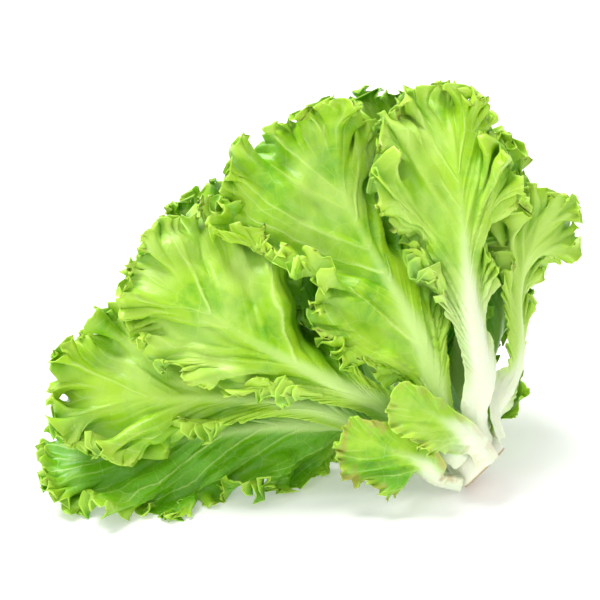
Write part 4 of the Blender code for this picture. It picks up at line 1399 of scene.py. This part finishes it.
@dataclass
class Stem:
    """The short cut stem: a cylinder's ring, drawn out ring by ring to a rounded tip."""

    sides: int = 96
    rings: int = 36
    cut_rings: int = 3  # inside the rim of the cut
    cut_ring: float = 0.2  # width of each, as a share of the radius
    cut_dish: float = 0.9  # how far the middle of the cut has sunk
    cut_edge: Pair = (0.94, 0.06)  # the share of its radius at the cut, and what it gains above it
    cut_edge_height: float = 2.5
    tip: Pair = (0.86, 0.14)  # the share of the length where the tip rounds off, and over which
    lump: float = 0.25
    lump_length: float = 30.0
    lump_turn: float = 60.0  # a full turn, as a way past the lumps
    lump_rise: float = 0.4  # how far the lumps wind up the stem
    lift: float = 0.2  # least height above the surface
    sharp: float = 40.0  # degrees between faces that aren't shaded as one

    LUMP_SEED = 3

    def build(self) -> bpy.types.Object:
        """Models the stem as a closed mesh object."""
        bpy.ops.object.select_all(action="DESELECT")
        bpy.ops.mesh.primitive_circle_add(vertices=self.sides, radius=1.0, fill_type="NGON")
        obj = bpy.context.active_object
        obj.name = obj.data.name = "cut_stem"
        bpy.ops.object.mode_set(mode="EDIT")
        bpy.ops.mesh.select_all(action="SELECT")
        for _ in range(self.cut_rings):
            bpy.ops.mesh.inset(thickness=self.cut_ring, depth=0.0)
        bpy.ops.mesh.poke()
        bpy.ops.mesh.select_all(action="SELECT")
        bpy.ops.mesh.region_to_loop()
        for _ in range(self.rings):
            bpy.ops.mesh.extrude_edges_move(TRANSFORM_OT_translate={"value": (0.0, 0.0, 1.0)})
        bpy.ops.mesh.edge_face_add()
        bpy.ops.mesh.poke()
        bpy.ops.object.mode_set(mode="OBJECT")
        self._shape(obj.data)
        bpy.ops.object.mode_set(mode="EDIT")
        bpy.ops.mesh.select_all(action="SELECT")
        bpy.ops.mesh.normals_make_consistent(inside=False)
        bpy.ops.object.mode_set(mode="OBJECT")
        bpy.ops.object.shade_smooth_by_angle(angle=math.radians(self.sharp))
        return obj

    def _shape(self, mesh: bpy.types.Mesh) -> None:
        """Tapers and rounds the rings, dishes the cut and lays the stem along its axis."""
        flat = np.empty(len(mesh.vertices) * 3)
        mesh.vertices.foreach_get("co", flat)
        x, y, ring = flat.reshape(-1, 3).T
        spread = np.hypot(x, y)
        share = ring / self.rings
        height = HEAD.stem_length * share
        start, length = self.tip
        closed = np.clip((share - start) / length, 0.0, 1.0)
        close = np.sqrt(np.clip(1.0 - closed**2, 0.0, 1.0))
        least, gain = self.cut_edge
        edge = least + gain * smooth(height / self.cut_edge_height)
        turn = np.arctan2(y, x)
        run = turn / TURN * self.lump_turn + self.lump_rise * height
        lumps = self.lump * drift(self.LUMP_SEED, run, self.lump_length)
        radius = (HEAD.radius(height) - 0.5 * HEAD.foot_gap) * close * edge + lumps * (ring > 0)
        radius *= spread
        dish = np.where(ring == 0, self.cut_dish * (1.0 - spread**2), 0.0)
        axis, first, second = HEAD.axes()
        points = (
            axis * (height + dish)[:, None]
            + first * (radius * np.cos(turn))[:, None]
            + second * (radius * np.sin(turn))[:, None]
        )
        points[:, 2] = np.maximum(points[:, 2], HEAD.floor + self.lift)
        mesh.vertices.foreach_set("co", HEAD.place(points).ravel())
        for name, values in (("height", height), ("radius", radius)):
            mesh.attributes.new(name, "FLOAT", "POINT").data.foreach_set("value", values)


@dataclass(frozen=True)
class Lamp:
    """One broad soft light that shines from a place on the middle of the head."""

    name: str
    place: Triple
    spread: float  # degrees that it fills in the sky
    strength: float

    def build(self) -> None:
        """Hangs the light."""
        data = bpy.data.lights.new(self.name, "SUN")
        data.angle, data.energy = math.radians(self.spread), self.strength
        lamp = bpy.data.objects.new(self.name, data)
        bpy.context.scene.collection.objects.link(lamp)
        lamp.rotation_euler = (-Vector(self.place)).to_track_quat("-Z", "Y").to_euler()


@dataclass(frozen=True)
class Studio:
    """A plain pale floor, soft lights and the camera."""

    elevation: float = 25.0  # degrees from which the camera looks down
    lens: float = 85.0
    sensor: float = 36.0
    floor_side: float = 40.0  # metres
    floor_grey: float = 0.92
    floor_roughness: float = 0.6
    floor_glow: float = 0.2
    daylight: float = 0.70
    lamps: tuple = (
        Lamp("key", (-0.35, 0.2, 0.95), 30.0, 3.1),
        Lamp("fill", (-0.5, -0.8, 0.6), 40.0, 0.5),
    )

    def floor(self) -> None:
        """Lays the plain pale surface that the head lies on."""
        bpy.ops.object.select_all(action="DESELECT")
        bpy.ops.mesh.primitive_plane_add(size=self.floor_side, location=(0.0, 0.0, 0.0))
        floor = bpy.context.active_object
        floor.name = "studio_floor"
        bench = Bench("studio_floor")
        floor.data.materials.append(bench.finish({
            "Base Color": (*[self.floor_grey] * 3, 1.0),
            "Roughness": self.floor_roughness,
            "Emission Color": (1.0, 1.0, 1.0, 1.0),
            "Emission Strength": self.floor_glow,
        }))

    def world(self) -> None:
        """Even daylight from all round."""
        world = bpy.data.worlds.new("daylight")
        world.use_nodes = True
        back = world.node_tree.nodes["Background"]
        back.inputs["Color"].default_value = (1.0, 1.0, 1.0, 1.0)
        back.inputs["Strength"].default_value = self.daylight
        bpy.context.scene.world = world

    def camera(self) -> None:
        """The picture's view of the head."""
        lift = math.radians(self.elevation)
        back = Vector((0.0, -math.cos(lift), math.sin(lift)))
        up = Vector((0.0, math.sin(lift), math.cos(lift)))
        right = Vector((1.0, 0.0, 0.0))
        middle = IMAGE_SIDE / 2
        centre = Vector(HEAD.shift() * MM)
        centre += right * ((middle - CUT_PIXEL[0]) * PIXEL * MM)
        centre += up * ((CUT_PIXEL[1] - middle) * PIXEL * MM)
        distance = middle * PIXEL * MM / (0.5 * self.sensor / self.lens)
        data = bpy.data.cameras.new("camera")
        data.lens, data.sensor_width = self.lens, self.sensor
        camera = bpy.data.objects.new("camera", data)
        bpy.context.scene.collection.objects.link(camera)
        camera.matrix_world = Matrix.LocRotScale(
            centre + back * distance, (-back).to_track_quat("-Z", "Y"), None
        )
        bpy.context.scene.camera = camera

    def build(self) -> None:
        """Sets up the whole studio."""
        self.camera()
        self.floor()
        self.world()
        for lamp in self.lamps:
            lamp.build()
        bpy.context.scene.view_settings.view_transform = "Standard"


def main() -> None:
    """Builds the studio, the stem and the leaves, and reports each piece."""
    logging.basicConfig(level=logging.INFO, format="%(message)s")
    Studio().build()
    finishes = {
        Slot.OUTER: LeafFinish(Slot.OUTER).material(),
        Slot.HEART: LeafFinish(Slot.HEART).material(),
        Slot.STEM: StemFinish().material(),
    }
    stem = Stem().build()
    pieces = [(stem, "stem", Slot.STEM)]
    crowd = Crowd(LEAVES)
    for leaf, course, (settled, shelter) in zip(LEAVES, crowd.courses, crowd.settle()):
        slot = Slot.HEART if "heart" in leaf.name else Slot.OUTER
        pieces.append((Blade(leaf, course, settled, shelter).build(), leaf.name, slot))
    for piece, node, slot in pieces:
        piece.data.materials.append(finishes[slot])
        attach(piece, "root")
        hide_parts(node)
        LOG.info("%s stands for %s, %d faces", piece.name, node, len(piece.data.polygons))


if __name__ == "__main__":
    main()
